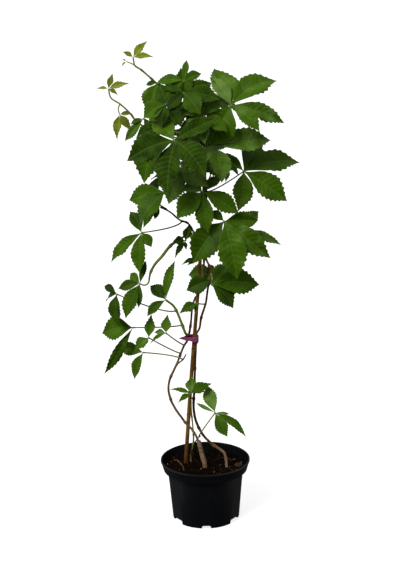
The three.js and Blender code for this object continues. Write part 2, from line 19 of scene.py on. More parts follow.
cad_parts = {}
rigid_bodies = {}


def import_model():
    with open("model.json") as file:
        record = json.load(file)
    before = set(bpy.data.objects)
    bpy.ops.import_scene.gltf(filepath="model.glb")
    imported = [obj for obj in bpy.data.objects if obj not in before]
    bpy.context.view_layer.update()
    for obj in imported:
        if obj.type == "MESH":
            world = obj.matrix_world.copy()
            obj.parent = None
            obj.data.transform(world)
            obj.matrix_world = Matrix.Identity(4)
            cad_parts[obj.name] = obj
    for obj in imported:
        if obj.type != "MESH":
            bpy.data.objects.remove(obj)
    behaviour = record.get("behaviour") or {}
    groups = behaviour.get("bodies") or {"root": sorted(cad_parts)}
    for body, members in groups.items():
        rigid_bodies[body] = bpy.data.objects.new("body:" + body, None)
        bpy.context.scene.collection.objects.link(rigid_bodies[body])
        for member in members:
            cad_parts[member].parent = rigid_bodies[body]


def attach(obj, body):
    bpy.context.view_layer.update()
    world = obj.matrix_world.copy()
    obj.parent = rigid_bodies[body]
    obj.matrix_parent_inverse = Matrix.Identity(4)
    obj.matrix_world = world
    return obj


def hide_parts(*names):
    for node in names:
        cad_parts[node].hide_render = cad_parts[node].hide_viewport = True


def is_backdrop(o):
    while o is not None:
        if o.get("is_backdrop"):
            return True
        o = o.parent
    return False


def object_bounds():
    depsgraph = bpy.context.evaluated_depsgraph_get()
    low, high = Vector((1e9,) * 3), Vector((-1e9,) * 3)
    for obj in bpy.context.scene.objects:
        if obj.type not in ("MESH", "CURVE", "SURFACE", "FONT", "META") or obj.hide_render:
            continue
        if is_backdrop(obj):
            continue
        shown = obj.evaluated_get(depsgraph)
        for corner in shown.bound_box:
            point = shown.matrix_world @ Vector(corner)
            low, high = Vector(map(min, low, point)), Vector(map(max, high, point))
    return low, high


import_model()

log = logging.getLogger("creeper")

MM = 0.001
WELD = 1e-6
TURN = 2 * math.pi
Pair = tuple[float, float]
Point = tuple[float, float, float]
Faces = list[tuple[int, ...]]
Measures = dict[str, float | Vector]
Stops = tuple[tuple[float, str], ...]
Inputs = dict[str | int, object]
Value = Node | NodeSocket | float


def held(share: float) -> float:
    """Returns the share, held between 0 and 1."""
    return min(max(share, 0.0), 1.0)


def turns(sides: int) -> list[float]:
    """Returns the angles of even steps round a turn."""
    return [TURN * k / sides for k in range(sides)]


def hermite(ends: tuple, slopes: tuple, share: float) -> Vector | float:
    """Finds a place on a cubic curve.

    Args:
        ends: Where it starts and ends.
        slopes: How fast it leaves and arrives, in steps from end to end.
        share: How far along it the place is, from 0 to 1.

    Returns:
        The place.
    """
    (p1, p2), (t1, t2) = ends, slopes
    square = (3 * (p2 - p1) - 2 * t1 - t2) * share**2
    return p1 + t1 * share + square + (2 * (p1 - p2) + t1 + t2) * share**3


def linear(code: str) -> tuple[float, float, float, float]:
    """Turns an sRGB hex colour to linear RGBA.

    Args:
        code: Six hex digits after a hash.

    Returns:
        The four linear numbers that a socket takes.
    """
    shares = [int(code[i : i + 2], 16) / 255 for i in (1, 3, 5)]
    turned = [s / 12.92 if s <= 0.04045 else ((s + 0.055) / 1.055) ** 2.4 for s in shares]
    return (*turned, 1.0)


def fill(tree: NodeTree, node: Node, inputs: Inputs) -> None:
    """Links or fills a node's inputs.

    Args:
        tree: The tree that holds the node.
        node: The node.
        inputs: Sockets by name or place, each with a node or socket to link or a value to hold.
    """
    for name, value in inputs.items():
        if isinstance(value, Node):
            value = next(socket for socket in value.outputs if socket.enabled)
        if isinstance(value, NodeSocket):
            tree.links.new(value, node.inputs[name])
        else:
            node.inputs[name].default_value = value


def add(
    tree: NodeTree, kind: str, inputs: Inputs | None = None, stops: Stops = (), **settings: object
) -> Node:
    """Adds one node with its settings and links.

    Args:
        tree: The tree that gets the node.
        kind: The node's type name.
        inputs: What its sockets link to or hold, as fill takes it.
        stops: The places and hex colours of its colour ramp, where it has one.
        settings: The node's own properties.

    Returns:
        The new node.
    """
    node = tree.nodes.new(kind)
    for name, value in settings.items():
        setattr(node, name, value)
    fill(tree, node, inputs or {})
    for _ in stops[2:]:
        node.color_ramp.elements.new(1.0)
    for i, (place, code) in enumerate(stops):
        node.color_ramp.elements[i].position = place
        node.color_ramp.elements[i].color = linear(code)
    return node


class Formula:
    """Turns written arithmetic into a chain of nodes, so that a shape's rule can be read."""

    signs = {ast.Add: "ADD", ast.Sub: "SUBTRACT", ast.Mult: "MULTIPLY", ast.Div: "DIVIDE", ast.Pow: "POWER"}
    ranges = ("LINEAR", "SMOOTHSTEP")

    def __init__(self, tree: NodeTree, known: dict[str, object]) -> None:
        """Keeps the tree, and the number, node or socket that each name in the arithmetic stands for."""
        self.tree = tree
        self.known = known

    def __call__(self, text: str) -> Value:
        """Adds the nodes for lines of arithmetic.

        Args:
            text: Lines such as "rise = 2 * width + lip", whose result is then known by its name.

        Returns:
            The last line's result.
        """
        for line in text.strip().splitlines():
            step = ast.parse(line.strip()).body[0]
            result = self._part(step.value)
            if isinstance(step, ast.Assign):
                self.known[step.targets[0].id] = result
        return result

    def _part(self, part: ast.expr) -> Value:
        """Adds the nodes for one part of the arithmetic.

        Args:
            part: The part, where linear and smoothstep bring a value between two limits to 0 to 1.

        Returns:
            Its result.
        """
        if isinstance(part, ast.Constant):
            return float(part.value)
        if isinstance(part, ast.Name):
            return self.known[part.id]
        if isinstance(part, ast.UnaryOp):
            operation, parts = "MULTIPLY", [ast.Constant(-1.0), part.operand]
        elif isinstance(part, ast.BinOp):
            operation, parts = self.signs[type(part.op)], [part.left, part.right]
        else:
            operation, parts = part.func.id.upper(), part.args
        inputs = dict(enumerate(self._part(p) for p in parts))
        if operation in self.ranges:
            return add(self.tree, "ShaderNodeMapRange", inputs, interpolation_type=operation)
        return add(self.tree, "ShaderNodeMath", inputs, operation=operation)


def new_tree(name: str, inputs: dict[str, str | float]) -> tuple[NodeTree, NodeOutputs]:
    """Starts a Geometry Nodes tree.

    Args:
        name: The tree's name.
        inputs: Each input's kind or, for a number, its usual value.

    Returns:
        The tree and the sockets of its inputs.
    """
    tree = bpy.data.node_groups.new(name, "GeometryNodeTree")
    tree.interface.new_socket("Geometry", in_out="OUTPUT", socket_type="NodeSocketGeometry")
    for title, value in inputs.items():
        kind = value if isinstance(value, str) else type(value).__name__.title()
        socket = tree.interface.new_socket(title, in_out="INPUT", socket_type=f"NodeSocket{kind}")
        if kind != value:
            socket.default_value = value
    return tree, add(tree, "NodeGroupInput").outputs


def end_tree(tree: NodeTree, parts: list[Value], skins: list[Inputs]) -> None:
    """Ends a Geometry Nodes tree: its parts become one smooth mesh with its materials.

    Args:
        tree: The tree.
        parts: The parts.
        skins: The inputs of each material's node.
    """
    joined = add(tree, "GeometryNodeJoinGeometry")
    for part in parts:
        fill(tree, joined, {0: part})
    real = add(tree, "GeometryNodeRealizeInstances", {"Geometry": joined})
    done = add(tree, "GeometryNodeSetShadeSmooth", {"Geometry": real})
    for skin in skins:
        done = add(tree, "GeometryNodeSetMaterial", {"Geometry": done} | skin)
    add(tree, "NodeGroupOutput", {0: done})


def new_object(name: str, data: bpy.types.ID) -> Object:
    """Links a new object into the scene.

    Args:
        name: The object's name.
        data: Its mesh, camera or lamp.

    Returns:
        The object.
    """
    made = bpy.data.objects.new(name, data)
    bpy.context.scene.collection.objects.link(made)
    return made


def drop(*things: Object) -> None:
    """Removes helper objects and their meshes.

    Args:
        things: The objects.
    """
    for thing in things:
        data = thing.data
        bpy.data.objects.remove(thing, do_unlink=True)
        bpy.data.meshes.remove(data)


def settled(thing: Object) -> Mesh:
    """Returns a plain mesh of the object with its modifiers worked out."""
    graph = bpy.context.evaluated_depsgraph_get()
    return bpy.data.meshes.new_from_object(thing.evaluated_get(graph), depsgraph=graph)


def grown(thing: Object, tree: NodeTree, inputs: Inputs) -> Mesh:
    """Runs a Geometry Nodes tree on a helper object, and removes the helper.

    Args:
        thing: The helper object.
        tree: The tree.
        inputs: The tree's inputs by name, where they aren't the usual ones.

    Returns:
        The plain mesh that comes out.
    """
    step = thing.modifiers.new(tree.name, "NODES")
    step.node_group = tree
    sockets = {s.name: s.identifier for s in tree.interface.items_tree if s.in_out == "INPUT"}
    for name, value in inputs.items():
        step[sockets[name]] = value
    mesh = settled(thing)
    drop(thing)
    return mesh


def close_up(mesh: Mesh, reach: float = WELD) -> Mesh:
    """Points a mesh's faces outwards.

    Args:
        mesh: The mesh.
        reach: How far apart in metres points may be that become one.

    Returns:
        The same mesh.
    """
    form = bmesh.new()
    form.from_mesh(mesh)
    bmesh.ops.remove_doubles(form, verts=form.verts, dist=reach)
    bmesh.ops.recalc_face_normals(form, faces=form.faces)
    form.to_mesh(mesh)
    form.free()
    return mesh


def keep(mesh: Mesh, rows: list[Measures]) -> None:
    """Stores measures in a mesh under their names, with 0 where a point has none.

    Args:
        mesh: The mesh.
        rows: The numbers and vectors of each point.
    """
    for name in sorted({name for row in rows for name in row}):
        values = [row.get(name) for row in rows]
        if any(isinstance(value, Vector) for value in values):
            flat = [number for value in values for number in (value or (0, 0, 0))]
            mesh.attributes.new(name, "FLOAT_VECTOR", "POINT").data.foreach_set("vector", flat)
        else:
            flat = [float(value or 0) for value in values]
            mesh.attributes.new(name, "FLOAT", "POINT").data.foreach_set("value", flat)


def mesh_of(
    name: str, points: list[Vector], faces: Faces, rows: list[Measures] | None = None, unit: float = MM
) -> Mesh:
    """Makes a closed, smooth mesh.

    Args:
        name: The mesh's name.
        points: The points.
        faces: Point numbers, face by face.
        rows: The measures of each point, where a finish or a tree reads them.
        unit: The metres in one unit of the points.

    Returns:
        The mesh.
    """
    mesh = bpy.data.meshes.new(name)
    mesh.from_pydata([point * unit for point in points], [], faces)
    keep(mesh, rows or [])
    mesh.shade_smooth()
    return close_up(mesh)


def rings(count: int, sides: int, first: int = 0) -> Faces:
    """Returns the faces that join rings of so many sides, each to the next, from a first point on."""
    steps = [(i * sides + k, i * sides + (k + 1) % sides) for i in range(count - 1) for k in range(sides)]
    return [(first + a, first + b, first + b + sides, first + a + sides) for a, b in steps]


def lathe(name: str, profile: list[Pair], sides: int) -> Object:
    """Returns the solid that a profile of radii and heights, from axis to axis, makes in one turn."""
    points = [Vector((r * math.sin(t), -r * math.cos(t), z)) for r, z in profile for t in turns(sides)]
    return new_object(name, mesh_of(name, points, rings(len(profile), sides)))


def cut(solid: Object, tool: Object, operation: str) -> None:
    """Joins a helper solid to an object, or cuts it away, and removes the helper.

    Args:
        solid: The object that is changed.
        tool: The helper.
        operation: UNION, DIFFERENCE or INTERSECT.
    """
    step = solid.modifiers.new(operation, "BOOLEAN")
    step.object = tool
    step.operation = operation
    step.solver = "EXACT"
    made = settled(solid)
    solid.modifiers.remove(step)
    old = solid.data
    solid.data = made
    bpy.data.meshes.remove(old)
    drop(tool)


def fit_in(mesh: Mesh, node: str, slot: str, *skins: Material) -> None:
    """Makes a finished piece of a mesh, puts it in the place of its node, and reports it.

    Args:
        mesh: The piece's mesh.
        node: The node that it stands for.
        slot: The record's material slot; it is not used.
        skins: Its materials, unless the mesh has them.
    """
    for skin in skins:
        mesh.materials.append(skin)
    piece = new_object(f"{node}_dressed", mesh)
    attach(piece, "root")
    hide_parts(node)
    log.info("%s: %d faces", piece.name, len(mesh.polygons))


class Path:
    """A smooth curve through points, measured by its length."""

    span_steps = 20
    search_steps = 400
    near = 0.004

    def __init__(self, route: list[Point]) -> None:
        """Traces the centripetal Catmull-Rom curve.

        Args:
            route: The points that it goes through.
        """
        points = [Vector(p) for p in route]
        ends = [2 * points[0] - points[1], *points, 2 * points[-1] - points[-2]]
        shares = [s / self.span_steps for s in range(1, self.span_steps + 1)]
        self.trace = [points[0].copy()]
        for i in range(len(points) - 1):
            self.trace += [self.between(ends[i : i + 4], share) for share in shares]
        self.marks = [0.0]
        for a, b in zip(self.trace, self.trace[1:]):
            self.marks.append(self.marks[-1] + (b - a).length)

    @staticmethod
    def between(near: list[Vector], share: float) -> Vector:
        """Finds a point on the stretch from the second of four points to the third.

        Args:
            near: The four points.
            share: The share of the way.

        Returns:
            The point.
        """
        p0, p1, p2, p3 = near
        d0, d1, d2 = [max((b - a).length ** 0.5, 1e-3) for a, b in zip(near, near[1:])]
        t1 = ((p1 - p0) / d0 - (p2 - p0) / (d0 + d1) + (p2 - p1) / d1) * d1
        t2 = ((p2 - p1) / d1 - (p3 - p1) / (d1 + d2) + (p3 - p2) / d2) * d1
        return hermite((p1, p2), (t1, t2), share)

    @property
    def length(self) -> float:
        """The curve's whole length."""
        return self.marks[-1]

    def at(self, share: float) -> Vector:
        """Finds a point of the curve.

        Args:
            share: The share of the length.

        Returns:
            The point.
        """
        goal = held(share) * self.length
        i = next((k for k, mark in enumerate(self.marks) if mark >= goal), len(self.marks) - 1)
        if i == 0:
            return self.trace[0].copy()
        gap = max(self.marks[i] - self.marks[i - 1], 1e-9)
        return self.trace[i - 1].lerp(self.trace[i], (goal - self.marks[i - 1]) / gap)

    def along(self, share: float) -> Vector:
        """Returns the unit direction at a share of the length."""
        return (self.at(share + self.near) - self.at(share - self.near)).normalized()

    def share_at(self, height: float) -> float:
        """Returns the first share of the length where the curve is as high as the height."""
        shares = (i / self.search_steps for i in range(self.search_steps))
        return next((share for share in shares if self.at(share).z >= height), 1.0)


@dataclass
class Stem:
    """A stem, branch or stalk: its route, girth and the look of its bark, and for a shoot its bud."""

    route: list[Point]
    base: float
    top: float
    joints: tuple[float, ...] = ()
    tones: tuple[Pair, ...] = ((0, 0.5), (1, 0.5))
    swelling: float = 0.4
    joint_length: float = 3.0
    belly: float = 0.0
    bud_depth: float = 0.6
    parent: str = ""
    bud_height: float = 0

    def __post_init__(self) -> None:
        """Traces the route."""
        self.path = Path(self.route)

    def radius(self, share: float) -> float:
        """Works out the radius, with the stem's belly and its growth joints.

        Args:
            share: The share of the length.

        Returns:
            The radius.
        """
        plain = self.base + (self.top - self.base) * share + self.belly * math.sin(math.pi * share) ** 2
        near = [math.exp(-(((share - j) * self.path.length / self.joint_length) ** 2)) for j in self.joints]
        return plain * (1 + self.swelling * sum(near))

    def tone(self, share: float) -> float:
        """Reads the skin's tone off its row of places and tones.

        Args:
            share: The share of the length.

        Returns:
            The tone, from 0, old bark darkened with painted shade at a foot inside the pot, to 1, green.
        """
        for (low, a), (high, b) in zip(self.tones, self.tones[1:]):
            if share <= high:
                return a + (b - a) * (share - low) / (high - low)
        return self.tones[-1][1]

    def bud(self, height: float, towards: Point) -> tuple[Vector, Vector]:
        """Finds where a stalk leaves the stem.

        Args:
            height: The bud's height.
            towards: The point that the stalk makes for.

        Returns:
            A point just under the stem's skin, and the way out of it.
        """
        share = self.path.share_at(height)
        centre = self.path.at(share)
        along = self.path.along(share)
        outward = Vector(towards) - centre
        outward = (outward - outward.dot(along) * along).normalized()
        return centre + outward * self.radius(share) * self.bud_depth, outward


class Skeleton:
    """Lines with a girth and points with a blade's measures, which a growth tree fills out."""

    def __init__(self) -> None:
        """Starts with nothing."""
        self.points: list[Vector] = []
        self.lines: list[tuple[int, int]] = []
        self.rows: list[Measures] = []

    def line(self, points: list[Vector], girths: list[float], tones: list[float]) -> None:
        """Adds one stalk.

        Args:
            points: Its centre line.
            girths: Its radius at each point.
            tones: Its tone at each point.
        """
        first = len(self.points)
        self.points += points
        self.lines += [(first + i, first + i + 1) for i in range(len(points) - 1)]
        self.rows += [{"girth": girth * MM, "tone": tone} for girth, tone in zip(girths, tones)]

    def stem(self, stem: Stem, step: float) -> None:
        """Adds a stem's line.

        Args:
            stem: The stem.
            step: About how far apart its points are.
        """
        count = max(3, round(stem.path.length / step))
        shares = [i / count for i in range(count + 1)]
        girths = [stem.radius(s) for s in shares]
        self.line([stem.path.at(s) for s in shares], girths, [stem.tone(s) for s in shares])

    def blade(self, hub: Vector, ways: tuple[Vector, Vector, Vector], measures: Measures) -> None:
        """Adds a blade at its hub: the ways along, across and up from it, and its measures in metres."""
        self.points.append(hub)
        self.rows.append({"hub": hub * MM, **dict(zip(("along", "across", "up"), ways)), **measures})

    def build(self, name: str) -> Object:
        """Makes the skeleton's mesh.

        Args:
            name: Its name.

        Returns:
            An object whose mesh carries the measures.
        """
        mesh = bpy.data.meshes.new(name)
        mesh.from_pydata([point * MM for point in self.points], self.lines, [])
        keep(mesh, self.rows)
        return new_object(name, mesh)


class BladeKind(Enum):
    """The two sorts of leaf blade, each with its count of veins on a side."""

    MATURE = 11
    YOUNG = 7


OUTLINES = {
    BladeKind.MATURE: (
        (0, 0.04), (0.06, 0.11), (0.15, 0.33), (0.27, 0.65), (0.4, 0.89), (0.52, 1.0), (0.63, 0.97),
        (0.74, 0.78), (0.83, 0.52), (0.9, 0.28), (0.95, 0.13), (1, 0),
    ),
    BladeKind.YOUNG: (
        (0, 0.05), (0.07, 0.16), (0.18, 0.52), (0.3, 0.88), (0.4, 1.0), (0.52, 0.93), (0.64, 0.7),
        (0.76, 0.42), (0.86, 0.24), (0.94, 0.1), (1, 0),
    ),
}


@dataclass
class UnitBlade:
    """One blade of unit length and unit half width, lying flat, whose points know their place on it."""

    kind: BladeKind
    vein_slant: float = 0.55
    tooth_depth: float = 0.064
    tooth_share: float = 0.35
    tooth_hook: float = 0.016
    tooth_rise: float = 0.5
    tooth_peak: float = 0.55
    toothed: Pair = (0.28, 0.96)
    tooth_fades: Pair = (0.16, 0.14)
    steps_a_vein: int = 4
    columns: tuple[float, ...] = (0, 0.05, 0.2, 0.42, 0.66, 0.86, 0.95, 1)
    slant_power: float = 1.4
    edge_power: float = 5
    rib: float = 1.6
    rib_reach: float = 0.06
    rib_taper: float = 0.8
    flat_thickness: float = 0.01

    def half_width(self, x: float) -> float:
        """Works out the half width, as a share of the widest.

        Args:
            x: The share of the length.

        Returns:
            The half width.
        """
        x = held(x)
        outline = OUTLINES[self.kind]
        i = next(k for k in range(1, len(outline)) if x <= outline[k][0])
        marks = [outline[min(max(i + k, 0), len(outline) - 1)] for k in (-2, -1, 0, 1)]
        (x0, y0), (x1, y1), (x2, y2), (x3, y3) = marks
        t1 = (y2 - y0) / max(x2 - x0, 1e-6) * (x2 - x1)
        t2 = (y3 - y1) / max(x3 - x1, 1e-6) * (x2 - x1)
        return max(hermite((y1, y2), (t1, t2), (x - x1) / (x2 - x1)), 0.0)

    def edge(self, row: float) -> Vector:
        """Finds the point of the toothed edge where a row of points ends.

        Args:
            row: The share of the length where the row leaves the rib.

        Returns:
            The point.
        """
        x = row + self.vein_slant * row * (1 - row)
        phase = (row * self.kind.value) % 1
        rise = phase / self.tooth_rise if phase < self.tooth_peak else (1 - phase) / (1 - self.tooth_peak)
        tooth = rise * 2 - 1
        (first, last), (fade_in, fade_out) = self.toothed, self.tooth_fades
        fade = held((x - first) / fade_in) * held((last - x) / fade_out)
        width = self.half_width(x)
        depth = min(self.tooth_depth, self.tooth_share * width) * fade
        return Vector((x + self.tooth_hook * max(tooth, 0) * fade, width + depth * tooth, 0))

    def skin(self, row: float, column: float, above: bool) -> float:
        """Works out how far the skin lies from the blade's middle: below it stands the rib.

        Args:
            row: The place along the blade, from 0 to 1.
            column: The place across it, from -1 to 1.
            above: Whether it is the upper skin.

        Returns:
            The distance, in thicknesses.
        """
        if abs(column) == 1 or row in (0, 1):
            return 0.0
        if above:
            return 0.5
        near = math.exp(-((column * self.half_width(row) / self.rib_reach) ** 2))
        return -0.5 - self.rib * (1 - self.rib_taper * row) * near

    def build(self) -> Object:
        """Builds the blade as a closed shell that is thin at its edge and thick along its rib.

        Returns:
            The blade.
        """
        rows = self.kind.value * self.steps_a_vein
        across = [*(-c for c in reversed(self.columns[1:])), *self.columns]
        sides = len(across)
        points, measures, faces = [], [], []
        for above in (True, False):
            starts = [len(points) + i * sides for i in range(rows)]
            faces += [(a, a + sides, a + sides + 1, a + 1) for s in starts for a in range(s, s + sides - 1)]
            for i in range(rows + 1):
                row = i / rows
                edge = self.edge(row)
                plain = self.half_width(edge.x)
                for column in across:
                    x = row + (edge.x - row) * abs(column) ** self.slant_power
                    y = (plain + (edge.y - plain) * abs(column) ** self.edge_power) * column * (i < rows)
                    skin = self.skin(row, column, above)
                    points.append(Vector((x, y, skin * self.flat_thickness)))
                    place = {"flat": Vector((x, y, skin)), "rib": Vector((row, column, 0))}
                    measures.append(place | {"under": 0.0 if above else 1.0, "is_blade": 1.0})
        return new_object("unit_blade", mesh_of("unit_blade", points, faces, measures, 1))


@dataclass
class GrowthTree:
    """The Geometry Nodes tree that sweeps a skeleton's lines and sets a blade on each of its points."""

    sides: int = 8
    thickness: float = 0.4 * MM
    relief: float = 0.0
    grain: float = 4.0 * MM
    fold: float = 0.44
    curl: float = 0.17
    pucker: float = 0.007
    wave: float = 0.03
    dent: float = 0.06

    numbers = ("length", "half", "arch", "twist", "bend", "phase", "veins", "crinkle", "girth", "is_blade")
    ways = ("flat", "rib", "hub", "along", "across", "up")
    fixed = {
        "turn": 6.2832, "half_turn": 3.1416, "crease": 0.004, "crease_floor": 0.063, "soft": 0.02,
        "waves": 2.5, "apart": 40.0,
    }
    bark_squeeze = (1, 1, 0.22)
    patch_scale = 3.5

    def build(self) -> NodeTree:
        """Builds the tree, whose lengths are in metres.

        Returns:
            The tree.
        """
        kinds = {"Geometry": "Geometry", "Blade": "Object"}
        kinds |= dict.fromkeys(("Stalk Skin", "Blade Skin"), "Material")
        tree, given = new_tree("growth", kinds | {name.title(): size for name, size in vars(self).items()})
        reads = dict.fromkeys(self.numbers, "FLOAT") | dict.fromkeys(self.ways, "FLOAT_VECTOR")
        known = {
            name: add(tree, "GeometryNodeInputNamedAttribute", {"Name": name}, data_type=kind)
            for name, kind in reads.items()
        }
        known |= self.fixed | {name: given[name.title()] for name in vars(self)}
        rule = Formula(tree, known)
        skins = [
            {"Material": given["Stalk Skin"]},
            {"Selection": known["is_blade"], "Material": given["Blade Skin"]},
        ]
        end_tree(tree, [self.stalks(rule, given), self.blades(rule, given)], skins)
        return tree

    def stalks(self, rule: Formula, given: NodeOutputs) -> Node:
        """Adds the part that sweeps a round section along each line.

        Args:
            rule: The tree's formula, which knows its sizes and measures.
            given: The tree's inputs.

        Returns:
            The stalks.
        """
        tree = rule.tree
        line = add(tree, "GeometryNodeMeshToCurve", {"Mesh": given["Geometry"]})
        ring = add(tree, "GeometryNodeCurvePrimitiveCircle", {"Resolution": given["Sides"], "Radius": 1.0})
        sweep = {"Curve": line, "Profile Curve": ring, "Scale": rule("girth"), "Fill Caps": True}
        swept = add(tree, "GeometryNodeCurveToMesh", sweep)
        squeeze = {0: add(tree, "GeometryNodeInputPosition"), 1: self.bark_squeeze}
        squeezed = add(tree, "ShaderNodeVectorMath", squeeze, operation="MULTIPLY")
        bumpy = {"Vector": squeezed, "Scale": rule("1 / grain"), "Detail": 2.0}
        rule.known["bumps"] = add(tree, "ShaderNodeTexNoise", bumpy)
        lift = {0: add(tree, "GeometryNodeInputNormal"), 3: rule("(bumps - 0.5) * relief * girth")}
        lifted = add(tree, "ShaderNodeVectorMath", lift, operation="SCALE")
        return add(tree, "GeometryNodeSetPosition", {"Geometry": swept, "Offset": lifted})

    def blades(self, rule: Formula, given: NodeOutputs) -> Node:
        """Adds the part that copies the unit blade to each point and bends it by its measures.

        Args:
            rule: The tree's formula, which knows its sizes and measures.
            given: The tree's inputs.

        Returns:
            The blades.
        """
        tree, known = rule.tree, rule.known
        copied = add(tree, "GeometryNodeObjectInfo", {"Object": given["Blade"]}).outputs["Geometry"]
        spots = {"Points": given["Geometry"], "Selection": known["length"], "Instance": copied}
        set_out = add(tree, "GeometryNodeInstanceOnPoints", spots)
        real = add(tree, "GeometryNodeRealizeInstances", {"Geometry": set_out})
        flat, rib = [add(tree, "ShaderNodeSeparateXYZ", {0: known[name]}).outputs for name in ("flat", "rib")]
        known |= {"x": flat[0], "y": flat[1], "skin": flat[2], "row": rib[0], "column": rib[1]}
        level = add(tree, "ShaderNodeCombineXYZ", {0: flat[0], 1: flat[1]})
        patchy = {"Vector": level, "W": rule("phase * apart"), "Scale": self.patch_scale, "Detail": 3.0}
        known["patch"] = add(tree, "ShaderNodeTexNoise", patchy, noise_dimensions="4D")
        rule("""
            droop = arch * length * x * x
            cup = half * (fold * (sqrt(y * y + crease) - crease_floor) - curl * y ** 4) - droop
            wale = sqrt(absolute(column) + soft) * (1 - column ** 4)
            ridges = cosine(turn * (veins * row + 0.5 * patch)) * wale
            quilt = pucker * sqrt(crinkle) * length * ridges * sine(half_turn * x) * 2 * patch
            dents = dent * crinkle * length * (patch - 0.5) * absolute(y) * sine(half_turn * x)
            frill = wave * length * y * y * sine(turn * (waves * x + phase)) * x
            rise = cup + quilt + dents + frill + skin * thickness
            aside = y * half
            roll = twist * x
            onward = x * length
            sideways = aside * cosine(roll) - rise * sine(roll) + bend * length * (x - x * x)
            upward = aside * sine(roll) + rise * cosine(roll)
        """)
        spot = known["hub"]
        for way, size in {"along": "onward", "across": "sideways", "up": "upward"}.items():
            step = add(tree, "ShaderNodeVectorMath", {0: known[way], 3: known[size]}, operation="SCALE")
            spot = add(tree, "ShaderNodeVectorMath", {0: spot, 1: step}, operation="ADD")
        return add(tree, "GeometryNodeSetPosition", {"Geometry": real, "Position": spot})


class Greenhouse:
    """Grows a skeleton into a plain mesh piece and puts it in the place of its node."""

    def __init__(self) -> None:
        """Builds the tree and the blades once for all pieces."""
        self.tree = GrowthTree().build()
        self.blades = {kind: UnitBlade(kind).build() for kind in BladeKind}

    def grow(
        self,
        node: str,
        skeleton: Skeleton,
        slot: str,
        stalk: Material,
        blade: Material | None = None,
        kind: BladeKind = BladeKind.MATURE,
        **sizes: float,
    ) -> None:
        """Grows one piece.

        Args:
            node: The node that the piece stands for.
            skeleton: Its lines and points.
            slot: The record's material slot.
            stalk: The material of its lines.
            blade: The material of its blades.
            kind: The sort of blade.
            sizes: Other inputs of the tree.
        """
        skins = {"Stalk Skin": stalk, "Blade Skin": blade or stalk}
        mesh = grown(skeleton.build(node), self.tree, {"Blade": self.blades[kind], **skins, **sizes})
        fit_in(close_up(mesh, 0), node, slot)

    def close(self) -> None:
        """Removes the unit blades and the tree."""
        drop(*self.blades.values())
        bpy.data.node_groups.remove(self.tree)


@dataclass(frozen=True)
class Pattern:
    """A noise pattern: the size of its grain, how much detail it has, and its squeeze along each axis."""

    size: float
    detail: float = 2.0
    squeeze: Point = (1, 1, 1)

    def lay(self, tree: NodeTree) -> Node:
        """Adds the pattern to a material, fixed to the object.

        Args:
            tree: The material's tree.

        Returns:
            The pattern's node.
        """
        place = {"Vector": add(tree, "ShaderNodeTexCoord").outputs["Object"], "Scale": self.squeeze}
        squeezed = add(tree, "ShaderNodeMapping", place)
        inputs = {"Vector": squeezed, "Scale": 1 / (self.size * MM), "Detail": self.detail}
        return add(tree, "ShaderNodeTexNoise", inputs)


@dataclass(frozen=True)
class Finish:
    """A material for one of the real surfaces. Its rules know its fields, patterns and point numbers."""

    name: str
    roughness: float = 0.5
    ior: float = 1.45
    shine: float = 0.5
    relief: float = 0.0

    numbers = ()

    def build(self) -> Material:
        """Builds the material.

        Returns:
            The material.
        """
        material = bpy.data.materials.new(self.name)
        material.use_nodes = True
        tree = material.node_tree
        known = dict(vars(self))
        patterns = {name: value for name, value in known.items() if isinstance(value, Pattern)}
        known |= {name: pattern.lay(tree) for name, pattern in patterns.items()}
        for name in self.numbers:
            known[name] = add(tree, "ShaderNodeAttribute", attribute_name=name).outputs["Fac"]
        inputs = {"Roughness": self.roughness, "IOR": self.ior, "Specular IOR Level": self.shine}
        fill(tree, tree.nodes["Principled BSDF"], inputs | self.coat(Formula(tree, known)))
        return material

    def coat(self, rule: Formula) -> Inputs:
        """Returns the shader's inputs, which each kind of finish works out by its own rules."""
        raise NotImplementedError(self.name)

    def surface(self, rule: Formula, ground: Node | str, layers: dict[str, str], height: str) -> Inputs:
        """Lays colours over a ground, and gives them a relief.

        Args:
            rule: The material's formula.
            ground: The lowest colour.
            layers: The other colours, each after the rule of its share.
            height: The relief's rule.

        Returns:
            The shader's colour and normal.
        """
        skin = linear(ground) if isinstance(ground, str) else ground
        for share, colour in layers.items():
            mixed = {0: rule(share), 6: skin, 7: linear(colour)}
            skin = add(rule.tree, "ShaderNodeMix", mixed, data_type="RGBA")
        relief = {"Height": rule(height), "Distance": self.relief * MM}
        return {"Base Color": skin, "Normal": add(rule.tree, "ShaderNodeBump", relief)}


